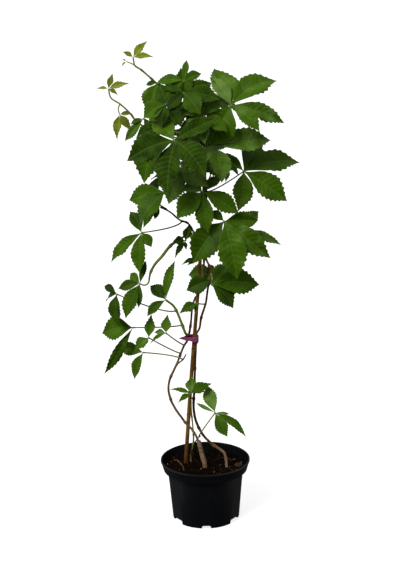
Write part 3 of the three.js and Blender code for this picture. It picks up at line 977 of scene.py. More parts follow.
@dataclass(frozen=True)
class LeafFinish(Finish):
    """Waxy leaf skin: it shines softly, its palest green is a painted sheen, its veins are sunk and paler,
    and its underside is dull.
    """

    # From deep to fresh green the stops are the leaf's own; the palest, grey-green stop is a painted sheen.
    greens: Stops = ((0, "#142402"), (0.5, "#355206"), (1, "#6b8543"))
    vein_green: str = "#6f8c3c"
    under_green: str = "#5f7f45"
    edge_green: str = "#4a4a12"
    vein_show: float = 0.15
    edge_show: float = 0.12
    mottle: Pattern = Pattern(20, 3.0)
    mottle_show: float = 0.6
    cell: float = 2.4
    cell_cap: float = 0.3
    relief: float = 0.3
    turn: float = 6.2832
    vein_narrowing: float = 0.14
    vein_limit: float = 0.84
    side_vein: float = 0.7
    rib_edge: float = 0.05
    rib_core: float = 0.012
    edge_power: float = 12

    numbers = ("shade", "veins", "under")

    def coat(self, rule: Formula) -> Inputs:
        """Works out the skin from the blade's own numbers.

        Args:
            rule: The material's formula.

        Returns:
            The shader's inputs.
        """
        tree = rule.tree
        for name, parts in {"rib": ("row", "column"), "flat": ("x", "y")}.items():
            way = add(tree, "ShaderNodeAttribute", attribute_name=name).outputs["Vector"]
            rule.known |= dict(zip(parts, add(tree, "ShaderNodeSeparateXYZ", {0: way}).outputs))
        place = add(tree, "ShaderNodeTexCoord").outputs["Object"]
        net = {"Vector": place, "Scale": 1 / (self.cell * MM)}
        rule.known["cells"] = add(tree, "ShaderNodeTexVoronoi", net, feature="DISTANCE_TO_EDGE")
        tone = rule("""
            out = absolute(column)
            side = smoothstep(-cosine(turn * veins * row) - vein_narrowing * out, vein_limit, 1)
            vein = maximum(smoothstep(absolute(y), rib_edge, rib_core), side * (1 - out) * side_vein)
            minimum(maximum(shade + (mottle - 0.5) * mottle_show, 0), 1)
        """)
        layers = {
            "out ** edge_power * edge_show": self.edge_green,
            "vein * vein_show": self.vein_green,
            "under": self.under_green,
        }
        # The leaf's shade, partly its own green and partly painted light and sheen, picks its colour.
        skin = add(tree, "ShaderNodeValToRGB", {0: tone}, self.greens)
        return self.surface(rule, skin, layers, "0.5 + minimum(cells, cell_cap) * 0.5 - vein * 0.5")


@dataclass(frozen=True)
class StalkFinish(Finish):
    """Skin of stalks and stems by their age: old bark is tan and banded, young skin is green, and tone 0 is
    painted shade.
    """

    # The first stop is painted shade, which darkens the stems' feet inside the pot.
    stops: Stops = (
        (0, "#35271b"), (0.08, "#78624b"), (0.18, "#6e5943"), (0.34, "#5f4c30"), (0.48, "#5f3f24"),
        (0.6, "#281a10"), (0.74, "#4c3c1e"), (0.86, "#5f6a2a"), (1, "#727f2f"),
    )
    shadow: str = "#21150c"
    cracks: float = 0.45
    bands: float = 0.0
    streak_show: float = 0.3
    streaks: Pattern = Pattern(3.0, 4.0, (1, 1, 0.2))
    rings: Pattern = Pattern(9.0, 2.0, (0.15, 0.15, 1))
    relief: float = 0.25

    numbers = ("tone",)

    def coat(self, rule: Formula) -> Inputs:
        """Works out the skin from its tone, with dark cracks along it and bands across it.

        Args:
            rule: The material's formula.

        Returns:
            The shader's inputs.
        """
        age = rule("minimum(maximum(tone + (streaks - 0.5) * streak_show, 0), 1)")
        skin = add(rule.tree, "ShaderNodeValToRGB", {0: age}, self.stops)
        dark = "maximum(smoothstep(streaks, 0.5, 0.3) * cracks, smoothstep(rings, 0.5, 0.66) * bands)"
        return self.surface(rule, skin, {dark: self.shadow}, "streaks")


@dataclass(frozen=True)
class CaneFinish(Finish):
    """Bamboo: a hard yellow-brown rind with fine fibres, weathered patches, dark lines at its joints and
    painted shade at its foot.
    """

    rind: str = "#735220"
    weathered: str = "#4a3212"
    # The dark colour of the lines at the joints, which is also the painted shade at the cane's foot.
    joint: str = "#1c1007"
    fibres: Pattern = Pattern(1.6, 2.0, (1, 1, 0.06))
    patches: Pattern = Pattern(22)
    relief: float = 0.15

    numbers = ("tone",)

    def coat(self, rule: Formula) -> Inputs:
        """Returns the shader's inputs."""
        wear = "linear(fibres * 0.5 + patches * 0.6, 0.42, 0.68)"
        # The tone lays the dark colour on the lines at the joints and, as painted shade, on the foot in the
        # pot.
        return self.surface(rule, self.rind, {wear: self.weathered, "tone": self.joint}, "fibres")


@dataclass(frozen=True)
class PotFinish(Finish):
    """Moulded black polypropylene: a soft shine, a fine orange-peel skin and a trace of dried soil."""

    skin: str = "#07080b"
    dust: str = "#1d1813"
    peel: Pattern = Pattern(1.2)
    smear: Pattern = Pattern(30, 6.0, (1, 1, 0.4))
    relief: float = 0.03

    def coat(self, rule: Formula) -> Inputs:
        """Works out where the pot is dusty with dried soil, which is duller too.

        Args:
            rule: The material's formula.

        Returns:
            The shader's inputs.
        """
        rule("dusty = smoothstep(smear, 0.58, 0.8)")
        rough = rule("roughness + dusty * 0.15 + (smear - 0.5) * 0.12")
        return self.surface(rule, self.skin, {"dusty * 0.35": self.dust}, "peel") | {"Roughness": rough}


@dataclass(frozen=True)
class PeatFinish(Finish):
    """Moist peat and bark: dark crumbs, with redder and paler bits of bark and fibre among them."""

    stops: Stops = (
        (0, "#030100"), (0.4, "#0a0502"), (0.62, "#170c06"), (0.82, "#38220f"), (1, "#77654a"),
    )
    grains: Pattern = Pattern(2.2, 5.0)
    relief: float = 0.6

    numbers = ("tone",)

    def coat(self, rule: Formula) -> Inputs:
        """Returns the shader's inputs."""
        skin = add(rule.tree, "ShaderNodeValToRGB", {0: rule("tone + (grains - 0.5) * 0.45")}, self.stops)
        return self.surface(rule, skin, {}, "grains")


@dataclass(frozen=True)
class TapeFinish(Finish):
    """Stretchy pink tying tape: matt, crinkled across, and paler where it is stretched."""

    colour: str = "#641f45"
    stretched: str = "#8d426b"
    creases: Pattern = Pattern(2.5, 2.0, (1, 1, 0.25))
    relief: float = 0.3

    def coat(self, rule: Formula) -> Inputs:
        """Returns the shader's inputs."""
        return self.surface(rule, self.colour, {"creases": self.stretched}, "creases")


@dataclass(frozen=True)
class FloorFinish(Finish):
    """Plain pale studio paper, whose glow keeps the shadows on it faint."""

    colour: str = "#8a8a8a"
    light: str = "#ffffff"
    glow: float = 0.78

    def coat(self, rule: Formula) -> Inputs:
        """Returns the shader's inputs."""
        glow = {"Emission Color": linear(self.light), "Emission Strength": self.glow}
        return {"Base Color": linear(self.colour)} | glow


@dataclass
class Tuft:
    """The blades round one hub, each given by its angle, reach, width to length and, for some, its lift."""

    hub: Point
    blades: list[tuple[float, ...]]
    tilt: float = 30
    turn: float = 0
    downhill: bool = False
    # How light the leaf's green is: partly its own tone, partly painted light, lighter or darker as the light
    # falls on the leaf.
    shade: float = 0.3
    curl: float = 1
    crinkle: float = 1
    sag: float = 0.28
    fullness: float = 1.14
    stretch: float = 1.03
    setback: float = 0.9
    stagger: float = 3.5

    mature_reach = 42
    arches = (0.12, 0.34)
    twists = (-0.5, 0.5)
    bends = (-0.08, 0.08)
    shades = (-0.2, 0.2)

    @property
    def kind(self) -> BladeKind:
        """The sort of blade that suits its longest one."""
        longest = max(blade[1] for blade in self.blades)
        return BladeKind.MATURE if longest > self.mature_reach else BladeKind.YOUNG

    @property
    def face(self) -> Vector:
        """The way the leaf's face looks."""
        up, aside = math.radians(self.tilt), math.radians(self.turn)
        return Vector((math.sin(aside) * math.cos(up), -math.cos(aside) * math.cos(up), math.sin(up)))

    def towards(self, angle: float) -> Vector:
        """Finds a blade's way out, which is as long as its reach is foreshortened.

        Args:
            angle: Degrees as seen from the front, or round from straight downhill.

        Returns:
            The way out.
        """
        face = self.face
        if self.downhill:
            down = Vector((0, 0, -1)) + face.z * face
            return Quaternion(face, math.radians(angle)) @ down.normalized()
        way = Vector((math.cos(math.radians(angle)), 0, math.sin(math.radians(angle))))
        way.y = -(face.x * way.x + face.z * way.z) / face.y
        return way

    def set_on(self, skeleton: Skeleton, chance: random.Random) -> None:
        """Adds the blades to a skeleton.

        Args:
            skeleton: The skeleton that gets them.
            chance: Where their small differences come from.
        """
        face = self.face
        for i, (angle, reach, share, *lift) in enumerate(sorted(self.blades)):
            along = self.towards(angle)
            length = reach * self.stretch * along.length - self.setback
            along.normalize()
            hinge = along.cross(face).normalized()
            along.rotate(Quaternion(hinge, math.radians(sum(lift) + self.stagger * (-1 if i % 2 else 1))))
            across = face.cross(along).normalized()
            measures = {
                "length": length * MM,
                "half": share * self.fullness * length / 2 * MM,
                "arch": chance.uniform(*self.arches) * self.curl,
                "twist": chance.uniform(*self.twists) * self.curl,
                "bend": self.sag * across.z + chance.uniform(*self.bends),
                "phase": chance.random(),
                "veins": self.kind.value,
                "shade": self.shade + chance.uniform(*self.shades),
                "crinkle": self.crinkle,
            }
            root = Vector(self.hub) + along * self.setback
            skeleton.blade(root, (along, across, along.cross(across)), measures)


@dataclass
class Leaf:
    """One compound leaf: its node, the stem and height that its stalk leaves, and its blades."""

    node: str
    stem: str
    height: float
    tuft: Tuft


@dataclass
class BackLeaves:
    """The leaves round the back of the crown, which turn about it and hang by rule."""

    count: int = 5
    lowest: float = 660
    spacing: float = 38
    bearings: Point = (132, 48, 90)
    reaches: Point = (82, 70, 58)
    middle: float = -15
    rise: float = 40
    tilt: float = 40
    hand: tuple[Point, ...] = (
        (0, 60, 0.39), (52, 54, 0.39), (-52, 54, 0.39), (104, 37.2, 0.39), (-104, 37.2, 0.39),
    )

    def leaves(self) -> list[Leaf]:
        """Works out the leaves from the lowest one up.

        Returns:
            The leaves.
        """
        made = []
        for i in range(self.count):
            azimuth, out = self.bearings[i % 3], self.reaches[i % 3]
            x, y = math.cos(math.radians(azimuth)) * out, math.sin(math.radians(azimuth)) * out
            high = self.lowest + self.spacing * i
            spot = (x + self.middle, y, high)
            tuft = Tuft(spot, list(self.hand), tilt=self.tilt, turn=azimuth + 90, downhill=True)
            made.append(Leaf(f"leaf_back_{i + 1}", "right" if i % 3 == 1 else "main", high - self.rise, tuft))
        return made


@dataclass
class Creeper:
    """The plant: woody stems, green shoots and compound leaves, grown into one piece for each node."""

    house: Greenhouse
    leaf_skin: Material
    young_skin: Material
    stalk_skin: Material
    bark: Material
    stalk_radius: float = 1.4
    stalk_end_radius: float = 1.2
    stalk_bend: float = 0.2
    stalk_step: float = 3.0
    stalk_tone: float = 0.88
    foot: float = 0.9
    foot_reach: float = 2.5
    foot_tone: float = 0.2
    foot_tone_reach: float = 6
    knob: float = 0.6
    knob_reach: float = 2.2
    knob_end: float = 1.2
    knob_end_share: float = 0.55
    bark_step: float = 2.0
    bark_grain: float = 5.0
    bark_relief: float = 0.5
    bark_sides: int = 16
    seed: int = 41

    def __post_init__(self) -> None:
        """Sets the seed and starts each shoot at its bud."""
        self.chance = random.Random(self.seed)
        self.stems = dict(STEMS)
        for name, stem in STEMS.items():
            if stem.parent:
                start, _ = STEMS[stem.parent].bud(stem.bud_height, stem.route[0])
                self.stems[name] = replace(stem, route=[start, *stem.route])

    def stalk(self, skeleton: Skeleton, start: Vector, outward: Vector, hub: Vector) -> None:
        """Adds a leaf's stalk, which is thick at its base and has a small knob under the blades.

        Args:
            skeleton: The skeleton that gets it.
            start: Where it leaves the stem.
            outward: The way out of the stem there.
            hub: Where the blades meet.
        """
        span = (hub - start).length
        bend = start + outward * span * self.stalk_bend
        count = max(5, round(span / self.stalk_step))
        points, girths, tones = [], [], []
        for i in range(count + 1):
            t = i / count
            points.append(start.lerp(bend, t).lerp(bend.lerp(hub, t), t))
            plain = self.stalk_radius + (self.stalk_end_radius - self.stalk_radius) * t
            foot = self.foot * math.exp(-t * span / self.foot_reach)
            knob = self.knob * math.exp(-(((1 - t) * span / self.knob_reach) ** 2))
            girths.append(plain + foot + knob)
            tones.append(self.stalk_tone - self.foot_tone * math.exp(-t * span / self.foot_tone_reach))
        way = (points[-1] - points[-2]).normalized()
        points.append(hub + way * self.knob_end)
        girths.append(girths[-1] * self.knob_end_share)
        tones.append(tones[-1])
        skeleton.line(points, girths, tones)

    def grow_leaf(self, leaf: Leaf) -> None:
        """Grows one compound leaf.

        Args:
            leaf: The leaf.
        """
        skeleton = Skeleton()
        start, outward = self.stems[leaf.stem].bud(leaf.height, leaf.tuft.hub)
        self.stalk(skeleton, start, outward, Vector(leaf.tuft.hub))
        leaf.tuft.set_on(skeleton, self.chance)
        self.house.grow(leaf.node, skeleton, "leaf", self.stalk_skin, self.leaf_skin, leaf.tuft.kind)

    def grow_wood(self) -> None:
        """Grows the woody stems, each with the branches that are one with it."""
        sizes = {"Sides": self.bark_sides, "Relief": self.bark_relief, "Grain": self.bark_grain * MM}
        for node, names in WOOD.items():
            skeleton = Skeleton()
            for name in names:
                skeleton.stem(self.stems[name], self.bark_step)
            self.house.grow(node, skeleton, "bark", self.bark, **sizes)

    def grow_shoots(self) -> None:
        """Grows the green shoots with the young leaves that end them."""
        for node, (names, tufts, slot) in SHOOTS.items():
            skeleton = Skeleton()
            for name in names:
                skeleton.stem(self.stems[name], self.stalk_step)
            for tuft in tufts:
                tuft.set_on(skeleton, self.chance)
            kind = tufts[0].kind
            skin = self.young_skin if kind is BladeKind.YOUNG else self.leaf_skin
            self.house.grow(node, skeleton, slot, self.stalk_skin, skin, kind)

    def grow(self) -> None:
        """Grows the whole plant."""
        self.grow_wood()
        self.grow_shoots()
        for leaf in [*LEAVES, *BackLeaves().leaves()]:
            self.grow_leaf(leaf)


# The main, stump and right stems start at tone 0 at their feet, where painted shade darkens them inside the
# pot.
STEMS = {
    "main": Stem(
        [
            (1, -5, 72), (-1, -5, 105), (-7, -5, 132), (-12, -5, 152), (-15, -5, 162), (-19, -3, 170),
            (-27, 0, 181), (-36, 2, 190), (-45, 3, 203), (-56, 3, 220), (-64, 2, 239), (-68, 2, 260),
            (-65, 2, 279), (-58, 2, 295), (-51, 2, 310), (-42, 2, 333), (-37, 2, 345), (-29, 2, 358),
            (-25.5, 2, 374), (-22, 4, 397), (-20, 8, 417), (-15, 14, 433), (-6, 16, 445), (0, 12, 457),
            (3, 8, 480), (4, 8, 530), (4, 9, 600), (-1, 10, 650), (-14, 10, 700), (-29, 8, 750),
            (-42, 5, 790), (-54, 3, 816),
        ],
        base=2.4, top=1.5,
        joints=(0.105, 0.165, 0.235, 0.295, 0.352, 0.43, 0.5, 0.6, 0.66, 0.72, 0.8, 0.88),
        tones=(
            (0, 0), (0.06, 0.12), (0.13, 0.3), (0.34, 0.36), (0.4, 0.58), (0.5, 0.55), (0.56, 0.46),
            (1, 0.8),
        ),
    ),
    "stump": Stem(
        [(1, -5, 72), (-1, -5, 105), (-7, -5, 132), (-12, -5, 156)],
        base=5, top=3.9, joints=(0.55, 0.8), tones=((0, 0), (0.3, 0.01), (0.5, 0.08), (1, 0.14)),
        swelling=0.1,
    ),
    "fork": Stem(
        [(-53, 2, 305), (-47, 0, 313), (-39, -3, 320), (-33, -4, 331)],
        base=1.6, top=1.2, tones=((0, 0.4), (1, 0.6)),
    ),
    "tee": Stem(
        [
            (4, 8, 542), (0, 12, 549), (-8, 12, 556), (-15, 6, 566), (-19, -1, 576), (-26, -4, 585),
            (-39, -8, 591), (-57, -14, 608), (-74, -19, 618),
        ],
        base=2.0, top=1.5, joints=(0.5,), tones=((0, 0.45), (0.4, 0.6), (1, 0.8)),
    ),
    "right": Stem(
        [
            (42, -5, 72), (41, -5, 105), (39, -5, 123), (36, -5, 131), (27, -5, 139), (13, -4, 149),
            (5, -3, 157), (-4, 0, 167), (-10, 3, 177), (-16, 4, 191), (-19, 5, 205), (-20.5, 5, 219),
            (-20.5, 5, 233), (-19, 5, 250), (-17, 4, 290), (-15, 3, 330), (-13.5, 3, 352),
            (-13, 3, 368), (-7, 0, 380), (-3, -1, 402), (2, -2, 418), (6, -3, 431), (10, -3, 457),
            (16, -3, 485), (18, -3, 495), (10, -4, 510), (7, -6, 524), (8, -8, 560), (10, -9, 600),
            (10, -9, 640), (8, -9, 680), (2, -6, 730), (2, -5, 770), (6, -5, 800),
        ],
        base=2.7, top=2.2, belly=-0.4,
        joints=(0.11, 0.17, 0.25, 0.33, 0.4, 0.467, 0.565, 0.64, 0.72, 0.8, 0.88),
        tones=(
            (0, 0), (0.04, 0.1), (0.09, 0.2), (0.12, 0.56), (0.34, 0.6), (0.42, 0.48), (0.7, 0.46),
            (1, 0.8),
        ),
    ),
    "small": Stem(
        [
            (-28, 20, 75), (-28, 19, 105), (-27, 17, 122), (-23, 13, 140), (-22, 9, 160), (-23, 7, 182),
            (-25, -2, 215), (-25, -18, 250),
        ],
        base=2.1, top=1.1, joints=(0.38, 0.5, 0.72),
        tones=((0, 0.3), (0.2, 0.44), (0.36, 0.84), (1, 0.95)),
    ),
    "small_fork": Stem(
        [(-23, 13, 141), (-17, 9, 151), (-9, 5, 163)],
        base=1.3, top=1.1, tones=((0, 0.5), (1, 0.9)),
    ),
    "shoot_top": Stem(
        [
            (-54.4, 2.9, 817), (-61, 0, 828), (-78, -3, 843), (-96, -6, 860), (-104, -8, 867),
            (-113, -9, 873), (-116, -10, 888),
        ],
        base=2.0, top=1.5, joints=(0.45, 0.7), tones=((0, 0.6), (1, 1.0)),
    ),
    "tendril": Stem(
        [(-104, -8, 867), (-117, -9, 876), (-128, -10, 881)],
        base=1.4, top=0.9, tones=((0, 0.9), (1, 1.0)),
    ),
    "shoot_left": Stem(
        [
            (-60, 2, 748), (-88, 0, 755), (-115, 2, 774), (-125, 4, 787), (-143, 6, 804),
            (-159, 8, 815), (-163, 10, 831),
        ],
        base=1.9, top=1.5, joints=(0.3, 0.6), tones=((0, 0.6), (1, 1.0)), parent="main", bud_height=746,
    ),
    "shoot_left_fork": Stem(
        [(-143, 6, 804), (-146, 2, 796), (-144, 0, 786)],
        base=1.4, top=1.1, tones=((0, 0.9), (1, 1.0)),
    ),
    "shoot_middle": Stem(
        [
            (-20, 20, 556), (-31, 20, 554), (-43, 18, 547), (-57, 12, 539), (-75, -10, 522),
            (-87, -12, 509), (-96, -14, 492), (-100, -17, 475), (-107, -21, 472), (-115, -25, 476),
        ],
        base=1.8, top=1.4, belly=1.4, joints=(0.35, 0.75), tones=((0, 0.86), (1, 0.92)), parent="tee",
        bud_height=556,
    ),
    "shoot_low": Stem(
        [(-32, -8, 372), (-40, -12, 395), (-53, -16, 428), (-68, -28, 445)],
        base=2.5, top=2.1, joints=(0.3, 0.65), tones=((0, 0.86), (1, 0.95)), parent="main",
        bud_height=367,
    ),
}

WOOD = {
    "stem_main": ("main", "stump", "fork", "tee"),
    "stem_right": ("right",),
    "stem_small": ("small", "small_fork"),
}

SHOOTS = {
    "shoot_top": (
        ("shoot_top", "tendril"),
        [
            Tuft((-116, -10, 888), tilt=25, turn=-10, shade=0.42, stretch=1.14, blades=[
                (53, 36, 0.31), (5, 32, 0.3), (149, 20, 0.34),
            ]),
            Tuft((-128, -10, 881), tilt=25, turn=-10, shade=0.5, blades=[
                (150, 9, 0.3), (220, 12, 0.3),
            ]),
        ],
        "young_leaf",
    ),
    "shoot_left": (
        ("shoot_left", "shoot_left_fork"),
        [
            Tuft((-163, 10, 831), turn=-15, shade=0.42, stretch=1.14, blades=[
                (75, 26, 0.32), (14, 34, 0.3), (335, 16, 0.36), (178, 20, 0.26),
            ]),
            Tuft((-144, 0, 786), tilt=20, turn=-10, shade=0.4, blades=[
                (257, 42, 0.32), (304, 34, 0.36), (3, 23, 0.32),
            ]),
        ],
        "young_leaf",
    ),
    "shoot_middle": (
        ("shoot_middle",),
        [
            Tuft((-115, -25, 476), turn=-15, shade=0.35, blades=[
                (72, 40, 0.25), (143, 28, 0.5), (192, 42, 0.42), (237, 63, 0.4), (266, 36, 0.28),
            ]),
        ],
        "young_leaf",
    ),
    "shoot_low": (
        ("shoot_low",),
        [
            Tuft((-68, -28, 445), tilt=20, turn=-10, blades=[
                (81, 69, 0.22), (138, 40, 0.5), (218, 45, 0.35),
            ]),
        ],
        "leaf",
    ),
}

# Each leaf's shade is partly painted light, set leaf by leaf to how the light falls on it.
LEAVES = [
    Leaf("leaf_crown_top", "main", 790, Tuft((-26, -30, 848), tilt=25, shade=0.44, blades=[
        (81, 40, 0.24), (177, 50, 0.34), (22, 32, 0.5), (215, 34, 0.39),
    ])),
    Leaf("leaf_crown_top_front", "right", 780, Tuft((-27, -50, 828), tilt=45, shade=0.13, blades=[
        (357, 62, 0.5), (310, 40, 0.6), (215, 36, 0.5), (162, 35, 0.39),
    ])),
    Leaf("leaf_crown_top_left", "main", 800, Tuft((-72, -20, 844), tilt=30, turn=-15, shade=0.38, blades=[
        (244, 48, 0.6), (290, 42, 0.55), (190, 23, 0.39),
    ])),
    Leaf("leaf_crown_top_right", "right", 740, Tuft((57, -30, 803), tilt=35, turn=15, shade=0.55, blades=[
        (107, 72, 0.56), (129, 58, 0.45, 8), (32, 96, 0.36), (346, 105, 0.26), (317, 64, 0.42, 6),
        (238, 66, 0.66, -12),
    ])),
    Leaf("leaf_crown_left", "main", 770, Tuft((-59, -56, 810), tilt=35, turn=-10, shade=0.24, blades=[
        (205, 44, 0.7), (250, 34, 0.6), (310, 40, 0.39), (52, 30, 0.39),
    ])),
    Leaf("leaf_crown_left_small", "main", 755, Tuft((-99, -48, 784), tilt=25, turn=-10, shade=0.42, blades=[
        (226, 49, 0.28), (201, 25, 0.34), (298, 19, 0.39),
    ])),
    Leaf("leaf_crown_left_low", "main", 735, Tuft((-71, -16, 760), tilt=30, turn=-20, shade=0.25, blades=[
        (193, 50, 0.52), (246, 88, 0.5), (132, 30, 0.39),
    ])),
    Leaf("leaf_crown_inner_high", "main", 765, Tuft((-24, 32, 806), tilt=8, shade=0.4, blades=[
        (96, 56, 0.54), (138, 50, 0.54), (35, 56, 0.52), (-65, 56, 0.54), (236, 58, 0.54),
    ])),
    Leaf("leaf_crown_inner_low", "right", 700, Tuft((6, 23, 718), tilt=8, shade=0.7, blades=[
        (78, 42, 0.55), (145, 62, 0.52), (15, 52, 0.52), (-60, 62, 0.5), (262, 55, 0.42),
    ])),
    Leaf("leaf_crown_middle", "right", 735, Tuft((0, -56, 784), tilt=40, shade=0.42, blades=[
        (155, 45, 0.39), (207, 40, 0.5), (281, 36, 0.5), (343, 52, 0.5), (45, 55, 0.5), (100, 42, 0.5),
    ])),
    Leaf("leaf_crown_front", "main", 715, Tuft(
        (-44, -92, 751), tilt=35, turn=-5, shade=0.3, crinkle=2.2, blades=[
            (200, 86, 0.5), (252, 75, 0.46), (318, 69, 0.52), (25, 80, 0.32), (131, 56, 0.5),
        ],
    )),
    Leaf("leaf_crown_right", "right", 690, Tuft((25, -45, 732), tilt=35, turn=10, shade=0.58, blades=[
        (5, 105, 0.36), (289, 55, 0.59), (220, 42, 0.5), (116, 32, 0.56),
    ])),
    Leaf("leaf_crown_low", "main", 680, Tuft((-38, -38, 704), tilt=30, turn=-10, shade=0.7, blades=[
        (255, 66, 0.5), (318, 60, 0.52), (84, 31, 0.39), (348, 44, 0.5),
    ])),
    Leaf("leaf_right", "right", 642, Tuft((79, -5, 679), tilt=35, turn=20, shade=0.37, blades=[
        (54, 64, 0.59), (10, 107, 0.34), (325, 92, 0.44), (270, 55, 0.51), (142, 57, 0.39),
    ])),
    Leaf("leaf_middle_front", "right", 600, Tuft((4, -60, 653), tilt=35, shade=0.55, blades=[
        (219, 58, 0.55), (274, 59, 0.4), (330, 67, 0.42), (163, 41, 0.5), (35, 42, 0.39),
    ])),
    Leaf("leaf_middle_left", "main", 610, Tuft((-64, -50, 652), tilt=35, turn=-20, shade=0.52, blades=[
        (192, 71, 0.47), (225, 67, 0.58, 6), (110, 30, 0.39),
    ])),
    Leaf("leaf_front", "right", 555, Tuft(
        (41, -65, 600), tilt=25, turn=10, shade=0.42, fullness=1, stretch=0.98, blades=[
            (229, 86, 0.58), (283, 98, 0.51), (317, 105, 0.38, 7), (355, 63, 0.53), (146, 34, 0.59),
        ],
    )),
    Leaf("leaf_right_slim", "right", 530, Tuft((71, -15, 570), tilt=30, turn=20, shade=0.6, blades=[
        (341, 81, 0.19), (300, 40, 0.39), (36, 47, 0.41),
    ])),
    Leaf("leaf_left", "tee", 589, Tuft((-110, -10, 569), tilt=25, turn=-20, shade=0.3, blades=[
        (217, 80, 0.29), (260, 65, 0.37), (310, 26, 0.56), (116, 42, 0.44),
    ])),
    Leaf("leaf_left_tip", "tee", 612, Tuft((-76, -25, 624), tilt=25, turn=-20, shade=0.45, blades=[
        (231, 49, 0.27), (251, 25, 0.39, 8),
    ])),
    Leaf("leaf_middle_small", "tee", 571, Tuft((-30, 0, 550), tilt=20, turn=-10, shade=0.4, blades=[
        (73, 30, 0.5), (184, 25, 0.6), (232, 36, 0.28), (270, 16, 0.39),
    ])),
    Leaf("leaf_middle_slim", "right", 521, Tuft((-10, -14, 519), tilt=20, blades=[
        (196, 29, 0.25), (218, 21, 0.26),
    ])),
    Leaf("leaf_low_right", "right", 487, Tuft((17, -35, 474), tilt=35, turn=10, shade=0.32, blades=[
        (357, 89, 0.46), (323, 54, 0.58), (39, 48, 0.53),
    ])),
    Leaf("leaf_low_back", "main", 470, Tuft((24, 19, 479), tilt=20, shade=0.48, blades=[
        (176, 50, 0.6), (122, 23, 0.48),
    ])),
    Leaf("leaf_low_cane", "right", 466, Tuft((18, -14, 477), tilt=25, blades=[
        (200, 48, 0.6),
    ])),
    Leaf("leaf_low_curled", "right", 428, Tuft((-9, -25, 436), tilt=20, shade=0.2, blades=[
        (202, 37, 0.45), (248, 16, 0.41),
    ])),
    Leaf("leaf_lower_left_high", "main", 347, Tuft((-69, -32, 382), tilt=20, turn=-10, shade=0.5, blades=[
        (87, 32, 0.51), (181, 23, 0.48), (208, 36, 0.19),
    ])),
    Leaf("leaf_lower_left_middle", "main", 330, Tuft(
        (-102, -20, 370), tilt=25, turn=-10, shade=0.65, blades=[
            (83, 40, 0.4), (217, 36, 0.55), (240, 16, 0.39),
        ],
    )),
    Leaf("leaf_lower_left_low", "fork", 320, Tuft((-114, 5, 333), tilt=25, turn=-20, blades=[
        (178, 47, 0.45), (239, 52, 0.36),
    ])),
    Leaf("leaf_bottom", "small", 248, Tuft((-25, -28, 261), tilt=30, shade=0.4, blades=[
        (24, 42, 0.46), (86, 30, 0.6), (167, 40, 0.21), (207, 28, 0.34),
    ])),
    Leaf("leaf_bottom_right", "small_fork", 162, Tuft(
        (20, -40, 226), tilt=35, turn=10, shade=0.55, fullness=0.92, sag=0.1, blades=[
            (113, 48, 0.5), (152, 40, 0.2), (353, 27, 0.25), (333, 72, 0.25), (296, 42, 0.54),
        ],
    )),
    Leaf("leaf_lower_left_tip", "shoot_low", 420, Tuft(
        (-160, 0, 450), tilt=25, turn=-30, shade=0.2, curl=1.8, blades=[
            (157, 31, 0.34), (192, 27, 0.56), (262, 52, 0.54),
        ],
    )),
    Leaf("leaf_lower_left", "shoot_low", 391, Tuft(
        (-132, 4, 383), tilt=30, turn=-15, shade=0.25, curl=1.8, blades=[
            (190, 63, 0.6), (236, 95, 0.17),
        ],
    )),
]


def rod(path: Path, girths: list[float], sides: int) -> list[Vector]:
    """Makes the rings of points of a round rod, which a girth of nothing closes at an end.

    Args:
        path: Its middle line.
        girths: Its radius at even steps along it.
        sides: How many points a ring has.

    Returns:
        The points, ring by ring.
    """
    points = []
    for i, girth in enumerate(girths):
        share = i / (len(girths) - 1)
        along = path.along(share)
        aside = along.cross(Vector((0, 0, 1))).normalized()
        above = aside.cross(along)
        ring = [(aside * math.cos(t) + above * math.sin(t)) * girth for t in turns(sides)]
        points += [path.at(share) + out for out in ring]
    return points


